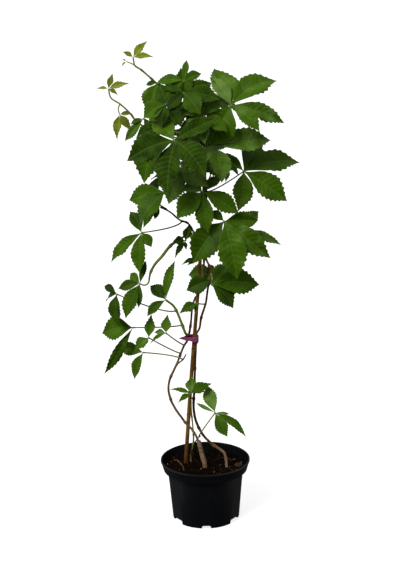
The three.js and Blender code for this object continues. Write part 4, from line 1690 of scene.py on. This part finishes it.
@dataclass
class Pot:
    """The moulded nursery pot: a tapered wall, a stepped collar with a rim, and six channels in its foot."""

    finish: Material
    lining: Material
    rim_radius: float = 86
    height: float = 118
    collar_radius: float = 81
    collar_low: float = 98
    body_radius: float = 73
    foot_radius: float = 64.5
    wall: float = 1.8
    rim_wall: float = 2.6
    floor: float = 2
    band: float = 77
    band_step: float = 0.35
    sides: int = 144
    channels: int = 6
    channel_start: float = 30
    channel_corner: float = 3
    channel_bevel: float = 0.3
    narrow: Pair = (17, 6)
    wide: Pair = (32, 8.5)
    drain_radius: float = 3.5
    drain_orbit: float = 50
    drain_height: float = 14
    drain_sides: int = 24
    core_top: float = 20
    below: float = -1
    upright: float = 0.5
    sharp: float = 30

    def wall_radius(self, height: float) -> float:
        """Returns the body's outer radius at a height under the collar."""
        return self.foot_radius + (self.body_radius - self.foot_radius) * height / self.collar_low

    def outer(self) -> list[Pair]:
        """Lists the outer profile, whose small steps round off its corners.

        Returns:
            The profile, from the middle of the underside to the rim.
        """
        foot, body, rim, top = self.foot_radius, self.body_radius, self.rim_radius, self.height
        low, collar, at_band = self.collar_low, self.collar_radius, self.wall_radius(self.band)
        return [
            (0, 0), (foot - 1.5, 0), (foot - 0.5, 0.4), (foot, 1.5),
            (at_band - self.band_step, self.band - 0.3), (at_band, self.band + 0.1), (body, low - 0.2),
            (body + 0.2, low), (collar - 0.8, low + 0.4), (collar - 0.2, low + 0.8), (collar, low + 1.6),
            (rim - 0.8, top - 3.6), (rim - 0.2, top - 3.3), (rim, top - 2.8), (rim, top - 0.8),
            (rim - 0.2, top - 0.2), (rim - 0.8, top),
        ]

    def inner(self, margin: float = 0) -> list[Pair]:
        """Lists the inner profile.

        Args:
            margin: How far it is set in.

        Returns:
            The profile, from the rim to the middle of the floor.
        """
        return [
            (self.rim_radius - self.rim_wall - margin, self.height),
            (self.collar_radius - self.wall - margin, self.collar_low + self.wall),
            (self.body_radius - self.wall - margin, self.collar_low - self.wall - margin),
            (self.foot_radius - self.wall - margin, self.floor + margin), (0, self.floor + margin),
        ]

    def channel(self, place: int, skin: float) -> Object:
        """Makes the solid of one of the channels.

        Args:
            place: Its place from 0 to 5, which its size and bearing follow.
            skin: How much it is grown.

        Returns:
            The solid.
        """
        width, rise = self.wide if place % 2 else self.narrow
        half, high, corner = width / 2 + skin, rise + skin, self.channel_corner
        bevel = corner * self.channel_bevel
        section = [
            (-half, self.below), (half, self.below), (half, high - corner), (half - bevel, high - bevel),
            (half - corner, high), (corner - half, high), (bevel - half, high - bevel),
            (-half, high - corner),
        ]
        turn = Matrix.Rotation(place * TURN / self.channels, 4, "Z")
        ends = (skin - self.channel_start, -self.rim_radius)
        points = [turn @ Vector((x, y, z)) for y in ends for x, z in section]
        count = len(section)
        faces = [*rings(2, count), tuple(range(count)), tuple(range(2 * count - 1, count - 1, -1))]
        return new_object("channel", mesh_of("channel", points, faces))

    def drain(self, place: int) -> Object:
        """Makes the solid of the drain hole through the roof of a channel.

        Args:
            place: The channel's place.

        Returns:
            The solid.
        """
        low, high, radius = self.below, self.drain_height, self.drain_radius
        hole = lathe("drain", [(0, low), (radius, low), (radius, high), (0, high)], self.drain_sides)
        bearing = place * TURN / self.channels
        spot = Vector((math.sin(bearing), -math.cos(bearing), 0)) * self.drain_orbit * MM
        hole.data.transform(Matrix.Translation(spot))
        return hole

    def core(self) -> Object:
        """Makes the room for the channels' roofs, which ends inside the floor and the wall.

        Returns:
            The solid.
        """
        low, half = self.floor / 2, self.wall / 2
        edge = [(self.wall_radius(z) - half, z) for z in (low, self.core_top)]
        return lathe("core", [(0, low), *edge, (0, self.core_top)], self.sides)

    def build(self) -> None:
        """Builds and dresses the pot, whose upper inside is the lining."""
        pot = lathe("pot_shell", self.outer() + self.inner(), self.sides)
        for place in range(self.channels):
            roof = self.channel(place, self.wall)
            cut(roof, self.core(), "INTERSECT")
            cut(pot, roof, "UNION")
        for place in range(self.channels):
            cut(pot, self.channel(place, 0), "DIFFERENCE")
            cut(pot, self.drain(place), "DIFFERENCE")
        mesh = close_up(pot.data)
        bpy.data.objects.remove(pot, do_unlink=True)
        mesh.materials.clear()
        for skin in (self.finish, self.lining):
            mesh.materials.append(skin)
        for face in mesh.polygons:
            out = Vector((face.center.x, face.center.y, 0)).normalized()
            high = face.center.z > (self.collar_low + self.wall) * MM
            face.material_index = int(high and face.normal.dot(out) < self.upright)
        mesh.shade_smooth()
        mesh.set_sharp_from_angle(angle=math.radians(self.sharp))
        fit_in(mesh, "pot", "pot")


@dataclass
class Soil:
    """The peat in the pot: an uneven top strewn with crumbs, bark and fibres, bare roots and pale bits."""

    pot: Pot
    finish: Material
    level: float = 102
    bottom: float = 12
    gap: float = 0.3
    sides: int = 150
    rings: int = 46
    swell: float = 3.4
    swell_size: float = 24
    grain: float = 1.7
    grain_size: float = 5
    grain_noise: tuple[float, float, int] = (0.6, 2.2, 4)
    calm_reach: float = 6
    calm: float = 0.35
    tone: float = 0.24
    crumb_density: float = 0.06
    flake_density: float = 0.014
    fibre_density: float = 0.01
    crumb: Point = (1.8, 1.5, 1.2)
    flake: Point = (3.6, 2.0, 0.6)
    crumb_rough: float = 0.7
    flake_rough: float = 0.6
    lump_grain: float = 1.7
    fibre_route: tuple[Point, ...] = ((-5, -0.6, 0), (-2, 0.9, 0.9), (1.5, 0.5, 1), (5, -1.4, 0.2))
    fibre_radius: float = 0.36
    fibre_taper: float = 0.03
    strewn_depth: float = 6
    strewn_sizes: Pair = (0.35, 1.3)
    strewn_tones: Pair = (0.1, 0.93)
    seed: int = 7
    seeds_apart: int = 10
    roots: tuple[tuple[list[Point], float, float], ...] = (
        ([(-60, 30, 102), (-56, 24, 105), (-49, 7, 106), (-43, -10, 105), (-41, -24, 101)], 1.4, 0.84),
        ([(36, 66, 99), (36, 76, 107), (35, 86, 113)], 2.0, 0.8),
        ([(52, 22, 102), (42, 30, 106), (30, 34, 104), (20, 33, 101)], 0.9, 0.8),
    )
    root_taper: float = 0.02
    pellets: tuple[Point, ...] = (
        (-8, -18, 103.5), (-73, 9, 103.5), (60, -26, 103.5), (17, -34, 103.5), (70, 12, 103.5),
    )
    pellet: float = 1.3
    pellet_steps: int = 6

    spins = {"Crumb": (3.1, 3.1, 3.1), "Flake": (0.5, 0.5, 3.1), "Fibre": (0.25, 0.25, 3.1)}

    def edge(self, height: float) -> float:
        """Works out the radius of the pot's inside, less the gap.

        Args:
            height: The height.

        Returns:
            The radius there.
        """
        inner = self.pot.inner(self.gap)
        for (r1, z1), (r2, z2) in zip(inner, inner[1:]):
            if z2 <= height <= z1:
                return r2 + (r1 - r2) * (height - z2) / (z1 - z2)
        return 0.0

    def top_at(self, spot: Vector) -> float:
        """Works out the height of the soil's top, which is calmer near the pot.

        Args:
            spot: The spot, at no height.

        Returns:
            The height there.
        """
        inward = held((self.edge(self.level) - spot.length) / self.calm_reach)
        slow = noise.noise(spot / self.swell_size) * self.swell
        quick = noise.fractal(spot / self.grain_size, *self.grain_noise) * self.grain
        return self.level + (slow + quick) * (self.calm + (1 - self.calm) * inward)

    def body(self) -> Object:
        """Makes the plain mass of soil.

        Returns:
            The mass.
        """
        shoulder = self.level - 2
        walls = [(0, self.bottom), (self.edge(self.bottom), self.bottom)]
        walls += [(r, z) for r, z in reversed(self.pot.inner(self.gap)) if self.bottom < z < shoulder]
        walls.append((self.edge(shoulder - 1), shoulder - 1))
        rim = self.edge(shoulder)
        walls += [(rim * (1 - i / self.rings), self.level) for i in range(self.rings + 1)]
        soil = lathe("soil_body", walls, self.sides)
        for point in soil.data.vertices:
            if point.co.z > (self.level - 1) * MM:
                point.co.z = self.top_at(Vector((point.co.x, point.co.y, 0)) / MM) * MM
        keep(soil.data, [{"tone": self.tone}] * len(soil.data.vertices))
        return soil

    def lump(self, name: str, size: Point, rough: float) -> Object:
        """Makes one crumb or flake of soil.

        Args:
            name: What it is.
            size: Its half sizes.
            rough: How uneven it is, as a share of its size.

        Returns:
            The lump.
        """
        form = bmesh.new()
        bmesh.ops.create_icosphere(form, subdivisions=1, radius=1)
        for point in form.verts:
            point.co *= 1 + rough * noise.noise(point.co * self.lump_grain + Vector((len(name), 0, 0)))
            point.co = Vector([c * s * MM for c, s in zip(point.co, size)])
        mesh = bpy.data.meshes.new(name)
        form.to_mesh(mesh)
        form.free()
        return new_object(name, mesh)

    def fibre(self, steps: int = 7, sides: int = 3) -> Object:
        """Makes one bent root fibre.

        Args:
            steps: How many rings it has between its ends.
            sides: How many points each ring has.

        Returns:
            The fibre.
        """
        girths = [0.0, *(self.fibre_radius - self.fibre_taper * i for i in range(steps)), 0.0]
        points = rod(Path(list(self.fibre_route)), girths, sides)
        return new_object("fibre", mesh_of("fibre", points, rings(len(girths), sides)))

    def litter(self, steps: int = 14, sides: int = 8) -> Object:
        """Makes what lies on the soil alone: bare roots, a thin dead stub and pale pellets.

        Args:
            steps: How many rings a root has between its ends.
            sides: How many points each ring has.

        Returns:
            The litter.
        """
        sticks = []
        for route, girth, tone in self.roots:
            girths = [girth * (1 - self.root_taper * i) for i in range(steps)]
            sticks.append((route, [0.0, *girths, 0.0], tone))
        shares = [i / self.pellet_steps for i in range(self.pellet_steps + 1)]
        ball = [self.pellet * math.sin(math.pi * share) for share in shares]
        for x, y, z in self.pellets:
            sticks.append(([(x - self.pellet, y, z), (x + self.pellet, y, z)], ball, 1.0))
        points, faces, rows = [], [], []
        for route, girths, tone in sticks:
            faces += rings(len(girths), sides, len(points))
            points += rod(Path(route), girths, sides)
            rows += [{"tone": tone}] * (sides * len(girths))
        return new_object("litter", mesh_of("litter", points, faces, rows))

    def scatter(self) -> NodeTree:
        """Builds the tree that strews the bits over the soil's top.

        Returns:
            The tree.
        """
        kinds = {"Geometry": "Geometry", "Floor": "Float", "Material": "Material", "Litter": "Object"}
        for bit in self.spins:
            kinds |= {bit: "Object", f"{bit} Density": "Float"}
        tree, given = new_tree("strewn soil", kinds)
        place, face = [
            add(tree, "ShaderNodeSeparateXYZ", {0: add(tree, f"GeometryNodeInput{what}")}).outputs[2]
            for what in ("Position", "Normal")
        ]
        rule = Formula(tree, {"height": place, "face": face, "floor": given["Floor"]})
        on_top = rule("greater_than(height, floor) * greater_than(face, 0.3)")
        litter = add(tree, "GeometryNodeObjectInfo", {"Object": given["Litter"]}).outputs["Geometry"]
        parts = [given["Geometry"], litter]
        for i, (bit, spin) in enumerate(self.spins.items()):
            spread = {"Mesh": given["Geometry"], "Selection": on_top, "Density": given[f"{bit} Density"]}
            spots = add(tree, "GeometryNodeDistributePointsOnFaces", spread | {"Seed": self.seed + i})
            drawn = [
                add(tree, "FunctionNodeRandomValue", limits | {8: i + self.seeds_apart * k}, data_type=kind)
                for k, (kind, limits) in enumerate((
                    ("FLOAT_VECTOR", {0: tuple(-turn for turn in spin), 1: spin}),
                    ("FLOAT", dict(zip((2, 3), self.strewn_sizes))),
                    ("FLOAT", dict(zip((2, 3), self.strewn_tones))),
                ))
            ]
            rule.known["tone"] = drawn[2]
            toned = {"Geometry": spots, "Name": "tone", "Value": rule("tone * tone")}
            named = add(tree, "GeometryNodeStoreNamedAttribute", toned, data_type="FLOAT", domain="POINT")
            copied = add(tree, "GeometryNodeObjectInfo", {"Object": given[bit]}).outputs["Geometry"]
            turned = add(tree, "FunctionNodeEulerToRotation", {0: drawn[0]})
            set_out = {"Points": named, "Instance": copied, "Rotation": turned, "Scale": drawn[1]}
            parts.append(add(tree, "GeometryNodeInstanceOnPoints", set_out))
        end_tree(tree, parts, [{"Material": given["Material"]}])
        return tree

    def build(self) -> None:
        """Builds and dresses the soil."""
        bits = {
            "Crumb": self.lump("crumb", self.crumb, self.crumb_rough),
            "Flake": self.lump("flake", self.flake, self.flake_rough),
            "Fibre": self.fibre(),
            "Litter": self.litter(),
        }
        densities = {"Crumb": self.crumb_density, "Flake": self.flake_density, "Fibre": self.fibre_density}
        inputs = {f"{name} Density": density / MM**2 for name, density in densities.items()}
        inputs |= {"Floor": (self.level - self.strewn_depth) * MM, "Material": self.finish, **bits}
        tree = self.scatter()
        mesh = grown(self.body(), tree, inputs)
        drop(*bits.values())
        bpy.data.node_groups.remove(tree)
        fit_in(mesh, "soil", "soil")


@dataclass
class Cane:
    """The bamboo cane, with a narrow ridge and a dark line at each of its joints."""

    house: Greenhouse
    finish: Material
    route: tuple[Point, ...] = ((-44, 21, 25), (-24, 13, 280), (-5, 5, 490), (9, -1, 692))
    radius: float = 4
    top_radius: float = 3.1
    joints: int = 5
    ridge: float = 0.12
    ridge_reach: float = 2.2
    groove: float = 0.1
    groove_at: float = 2
    groove_reach: float = 0.8
    line_reach: float = 0.9
    # How high the painted shade inside the pot reaches, how dark it is and how sharply it ends.
    soiled: float = 108
    soil_show: float = 0.95
    soil_power: int = 6
    step: float = 1.0
    grain: float = 6.0
    relief: float = 0.03
    sides: int = 24

    def build(self) -> None:
        """Builds and dresses the cane, whose foot is darkened with painted shade where it stands in the pot.
        """
        path = Path(list(self.route))
        count = round(path.length / self.step)
        places = [(3 * k + 1) / (3 * self.joints) * path.length for k in range(self.joints)]
        points, girths, tones = [], [], []
        for i in range(count + 1):
            t = i / count
            near = min((t * path.length - place for place in places), key=abs)
            swelling = self.ridge * math.exp(-((near / self.ridge_reach) ** 2))
            swelling -= self.groove * math.exp(-(((near - self.groove_at) / self.groove_reach) ** 2))
            points.append(path.at(t))
            girths.append((self.radius + (self.top_radius - self.radius) * t) * (1 + swelling))
            # Painted shade: the tone, and with it the dark colour, rises towards the cane's foot inside the
            # pot.
            soiled = self.soil_show * math.exp(-((t * path.length / self.soiled) ** self.soil_power))
            tones.append(max(math.exp(-(((near - self.groove_at) / self.line_reach) ** 2)), soiled))
        skeleton = Skeleton()
        skeleton.line(points, girths, tones)
        sizes = {"Sides": self.sides, "Relief": self.relief, "Grain": self.grain * MM}
        self.house.grow("cane", skeleton, "cane", self.finish, **sizes)


@dataclass
class Tie:
    """The pink tape round the cane and both stems, drawn tight, with one loose pointed end."""

    finish: Material
    around: tuple[Pair, ...] = (
        (-34, -1), (-28, -3.5), (-14, -3.5), (-10.5, 0), (-10, 9), (-14, 15), (-22, 15.5), (-34, 5),
    )
    middle: Pair = (-20.5, 5)
    low: float = 357
    width: float = 8
    thickness: float = 0.9
    stand_off: float = 0.2
    near: float = 0.02
    steps: int = 120
    rows: int = 12
    pinch: float = 0.18
    pinches: Pair = (9, 3)
    crease: float = 0.45
    crease_out: float = 0.8
    creases: Point = (14, 2.2, 8)
    hang: float = 6
    hang_at: float = 0.34
    hang_reach: float = 0.22
    end: tuple[Point, ...] = ((-33, 0.8, 361), (-38, 0.2, 361.6), (-45.8, 0.6, 361))
    end_steps: int = 12
    end_inset: float = 0.5
    end_least: float = 0.25
    end_power: float = 0.7
    end_thinning: float = 0.4
    end_sway: Pair = (0.25, 6)

    def section(self, place: float, out: float) -> Vector:
        """Finds a spot on the band.

        Args:
            place: Its place round the band, from 0 to 1.
            out: Its distance outwards.

        Returns:
            The spot, at no height.
        """
        count = len(self.around)
        i, share = int(place * count) % count, place * count % 1
        marks = [Vector((*self.around[(i + k - 1) % count], 0)) for k in range(4)]
        spot = Path.between(marks, share)
        ahead = Path.between(marks, held(share + self.near)) - Path.between(marks, held(share - self.near))
        outward = Vector((ahead.y, -ahead.x, 0)).normalized()
        if outward.dot(spot - Vector((*self.middle, 0))) < 0:
            outward.negate()
        return spot + outward * out

    def band(self) -> list[Vector]:
        """Lays out the band, which is pinched and creased here and there and hangs at the right.

        Returns:
            The rings of points across it, one after another round it.
        """
        points = []
        around = 2 * (self.rows + 1)
        slow, aside = self.pinches
        quick, across, away = self.creases
        for k in range(self.steps + 1):
            place = k % self.steps / self.steps
            pinch = 1 - self.pinch + self.pinch * noise.noise(Vector((place * slow, aside, 0)))
            hang = self.hang * max(0, 1 - abs(place - self.hang_at) / self.hang_reach)
            for j in range(around):
                inside = j > self.rows
                share = (around - 1 - j if inside else j) / self.rows
                crease = self.crease * noise.noise(Vector((place * quick, share * across, away)))
                out = 0 if inside else self.thickness
                spot = self.section(place, out + crease * self.crease_out + self.stand_off)
                high = self.width * (0.5 + (share - 0.5) * pinch)
                spot.z = self.low + high + crease - hang * (1 - share)
                points.append(spot)
        return points

    def loose_end(self) -> list[Vector]:
        """Lays out the loose end, which is wide where it leaves the band and comes to a point.

        Returns:
            The rings of points along it.
        """
        path = Path(list(self.end))
        count = self.end_steps
        wide = self.width / 2 - self.end_inset
        sway, waves = self.end_sway
        points = []
        for i in range(count + 1):
            t = i / count
            half = (wide * (1 - t) ** self.end_power + self.end_least) * (0 < i < count)
            thick = self.thickness / 2 * (1 - self.end_thinning * t) * (0 < i < count)
            lean = Vector((0, sway * math.sin(waves * t), 1)).normalized()
            corners = ((-half, -thick), (half, -thick), (half, thick), (-half, thick))
            points += [path.at(t) + lean * z + Vector((0, y, 0)) for z, y in corners]
        return points

    def build(self) -> None:
        """Builds and dresses the tie."""
        band = self.band()
        faces = rings(self.steps + 1, 2 * (self.rows + 1)) + rings(self.end_steps + 1, 4, len(band))
        fit_in(mesh_of("tie", band + self.loose_end(), faces), "tie", "tie", self.finish)


@dataclass
class CutStub:
    """The sawn-off stub: rough bark round a flat cut with a darker core."""

    finish: Material
    foot: Point = (60, -5, 80)
    top: Point = (64, -5, 107)
    radius: float = 7
    sides: int = 48
    bark_rows: tuple[float, ...] = (0, 0.15, 0.3, 0.45, 0.6, 0.7, 0.8, 0.9, 0.97)
    cut_rows: tuple[float, ...] = (0.86, 0.7, 0.52, 0.36, 0.2, 0)
    rim: float = 0.5
    dimple: float = 0.8
    grain: float = 0.3
    rough: float = 0.6
    rough_scales: Pair = (2.5, 5)
    rough_within: float = 5
    rim_tone: float = 0.1
    cut_tone: float = 0.3

    def build(self) -> None:
        """Builds and dresses the stub, row by row from its foot to the middle of its cut."""
        rows = [(0.0, 0.0, 0.0), *((self.radius, share, 0.0) for share in self.bark_rows)]
        rows.append((self.radius - self.rim, 1.0, self.rim_tone))
        rows += [(self.radius * s, 1.0, self.cut_tone + (1 - self.cut_tone) * (1 - s)) for s in self.cut_rows]
        low, high = Vector(self.foot), Vector(self.top)
        around, up = self.rough_scales
        points, measures = [], []
        for radius, share, tone in rows:
            for angle in turns(self.sides):
                way = Vector((math.cos(angle), math.sin(angle), 0))
                uneven = self.rough * noise.noise(way * around + Vector((0, 0, share * up)))
                wide = max(radius + uneven, 0) if radius > self.rough_within else radius
                spot = low.lerp(high, share) + way * wide
                if tone:
                    spot.z -= self.dimple * tone + self.grain * noise.noise(way * radius / 2)
                points.append(spot)
                measures.append({"tone": tone})
        mesh = mesh_of("stub", points, rings(len(rows), self.sides), measures)
        fit_in(mesh, "stem_cut_stub", "bark", self.finish)


@dataclass
class Studio:
    """A pale floor, soft light and a camera from a little above the front."""

    paper: Material
    eye: Point = (-4.3, -2401.0, 1114.5)
    down: float = 15.14
    roll: float = -1.0
    lens: float = 84.26
    sensor: float = 36
    floor_reach: float = 60_000
    sky: Stops = ((0, "#343434"), (0.45, "#464646"), (0.54, "#808080"), (0.75, "#c8c8c8"), (1, "#ffffff"))
    side_glow: float = 0.72
    sky_strength: float = 0.95
    sun: float = 3.35
    sun_turn: Point = (46, -10, -28)
    sun_spread: float = 24

    def set_floor(self) -> None:
        """Lays the floor under the pot."""
        reach = self.floor_reach
        corners = [Vector((x * reach, y * reach, 0)) for x, y in ((-1, -1), (1, -1), (1, 1), (-1, 1))]
        floor = new_object("studio_floor", mesh_of("studio_floor", corners, [(0, 1, 2, 3)]))
        floor.data.materials.append(self.paper)
        floor.visible_diffuse = False
        floor.visible_glossy = False
        floor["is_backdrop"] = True

    def set_camera(self) -> None:
        """Sets the camera."""
        down, roll = math.radians(self.down), math.radians(self.roll)
        ahead = Vector((0, math.cos(down), -math.sin(down)))
        up = Vector((0, math.sin(down), math.cos(down)))
        right = Vector((1, 0, 0))
        across = right * math.cos(roll) + up * math.sin(roll)
        above = up * math.cos(roll) - right * math.sin(roll)
        pose = Matrix((across, above, -ahead)).transposed().to_4x4()
        pose.translation = Vector(self.eye) * MM
        lens = bpy.data.cameras.new("camera")
        lens.lens = self.lens
        lens.sensor_width = self.sensor
        camera = new_object("camera", lens)
        camera.matrix_world = pose
        bpy.context.scene.camera = camera

    def set_light(self) -> None:
        """Sets a sky, dark below and lighter at the sides, and one soft lamp high at the left front."""
        world = bpy.data.worlds.new("studio")
        world.use_nodes = True
        tree = world.node_tree
        way = add(tree, "ShaderNodeTexCoord").outputs["Generated"]
        ways = add(tree, "ShaderNodeSeparateXYZ", {0: way}).outputs
        rule = Formula(tree, {"across": ways[0], "height": ways[2], "glow": self.side_glow})
        share = rule("(height + glow * across * across) * 0.5 + 0.5")
        sky = add(tree, "ShaderNodeValToRGB", {0: share}, self.sky)
        fill(tree, tree.nodes["Background"], {"Color": sky, "Strength": self.sky_strength})
        bpy.context.scene.world = world
        lamp = bpy.data.lights.new("softbox", "SUN")
        lamp.energy = self.sun
        lamp.angle = math.radians(self.sun_spread)
        light = new_object("softbox", lamp)
        light.rotation_euler = [math.radians(turn) for turn in self.sun_turn]
        bpy.context.scene.view_settings.view_transform = "Standard"

    def build(self) -> None:
        """Sets up the studio."""
        self.set_floor()
        self.set_camera()
        self.set_light()


def size() -> list[list[float]]:
    """Returns the whole part's box as plain lists."""
    return [list(corner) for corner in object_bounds()]


def main() -> None:
    """Builds and dresses the creeper, then sets the studio round it."""
    logging.basicConfig(level=logging.INFO, format="%(name)s: %(message)s")
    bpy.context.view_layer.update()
    house = Greenhouse()
    plastic = {"roughness": 0.31, "ior": 1.49}
    skin = PotFinish("moulded black polypropylene", **plastic, shine=0.28)
    lining = PotFinish("soiled black polypropylene", **plastic, shine=0.08)
    pot = Pot(skin.build(), lining.build())
    pot.build()
    Soil(pot, PeatFinish("moist peat and bark", roughness=0.95, shine=0.03).build()).build()
    Cane(house, CaneFinish("bamboo rind", roughness=0.45, shine=0.15).build()).build()
    Tie(TapeFinish("pink tying tape", roughness=0.5, shine=0.2).build()).build()
    wood = ((0, "#1e160e"), (0.25, "#483824"), (0.5, "#30200f"), (0.65, "#1a0e06"), (1, "#20120a"))
    CutStub(StalkFinish("sawn wood", roughness=0.85, shine=0.15, stops=wood).build()).build()
    creeper = Creeper(
        house,
        leaf_skin=LeafFinish("mature waxy leaf", roughness=0.45, shine=0.04).build(),
        young_skin=LeafFinish(
            "young waxy leaf",
            roughness=0.45,
            shine=0.05,
            # Its palest stop is a painted sheen as well.
            greens=((0, "#2a360a"), (0.5, "#6a7320"), (1, "#8f9338")),
            vein_green="#8f9146",
            under_green="#666d2c",
            edge_green="#6a4a1c",
            edge_show=0.25,
        ).build(),
        stalk_skin=StalkFinish(
            "green stalk skin", roughness=0.5, shine=0.1, relief=0.08, cracks=0.12
        ).build(),
        bark=StalkFinish(
            "young vine bark", roughness=0.8, shine=0.12, relief=0.35, bands=0.6
        ).build(),
    )
    creeper.grow()
    house.close()
    Studio(FloorFinish("pale studio paper", roughness=0.9).build()).build()


if __name__ == "__main__":
    main()
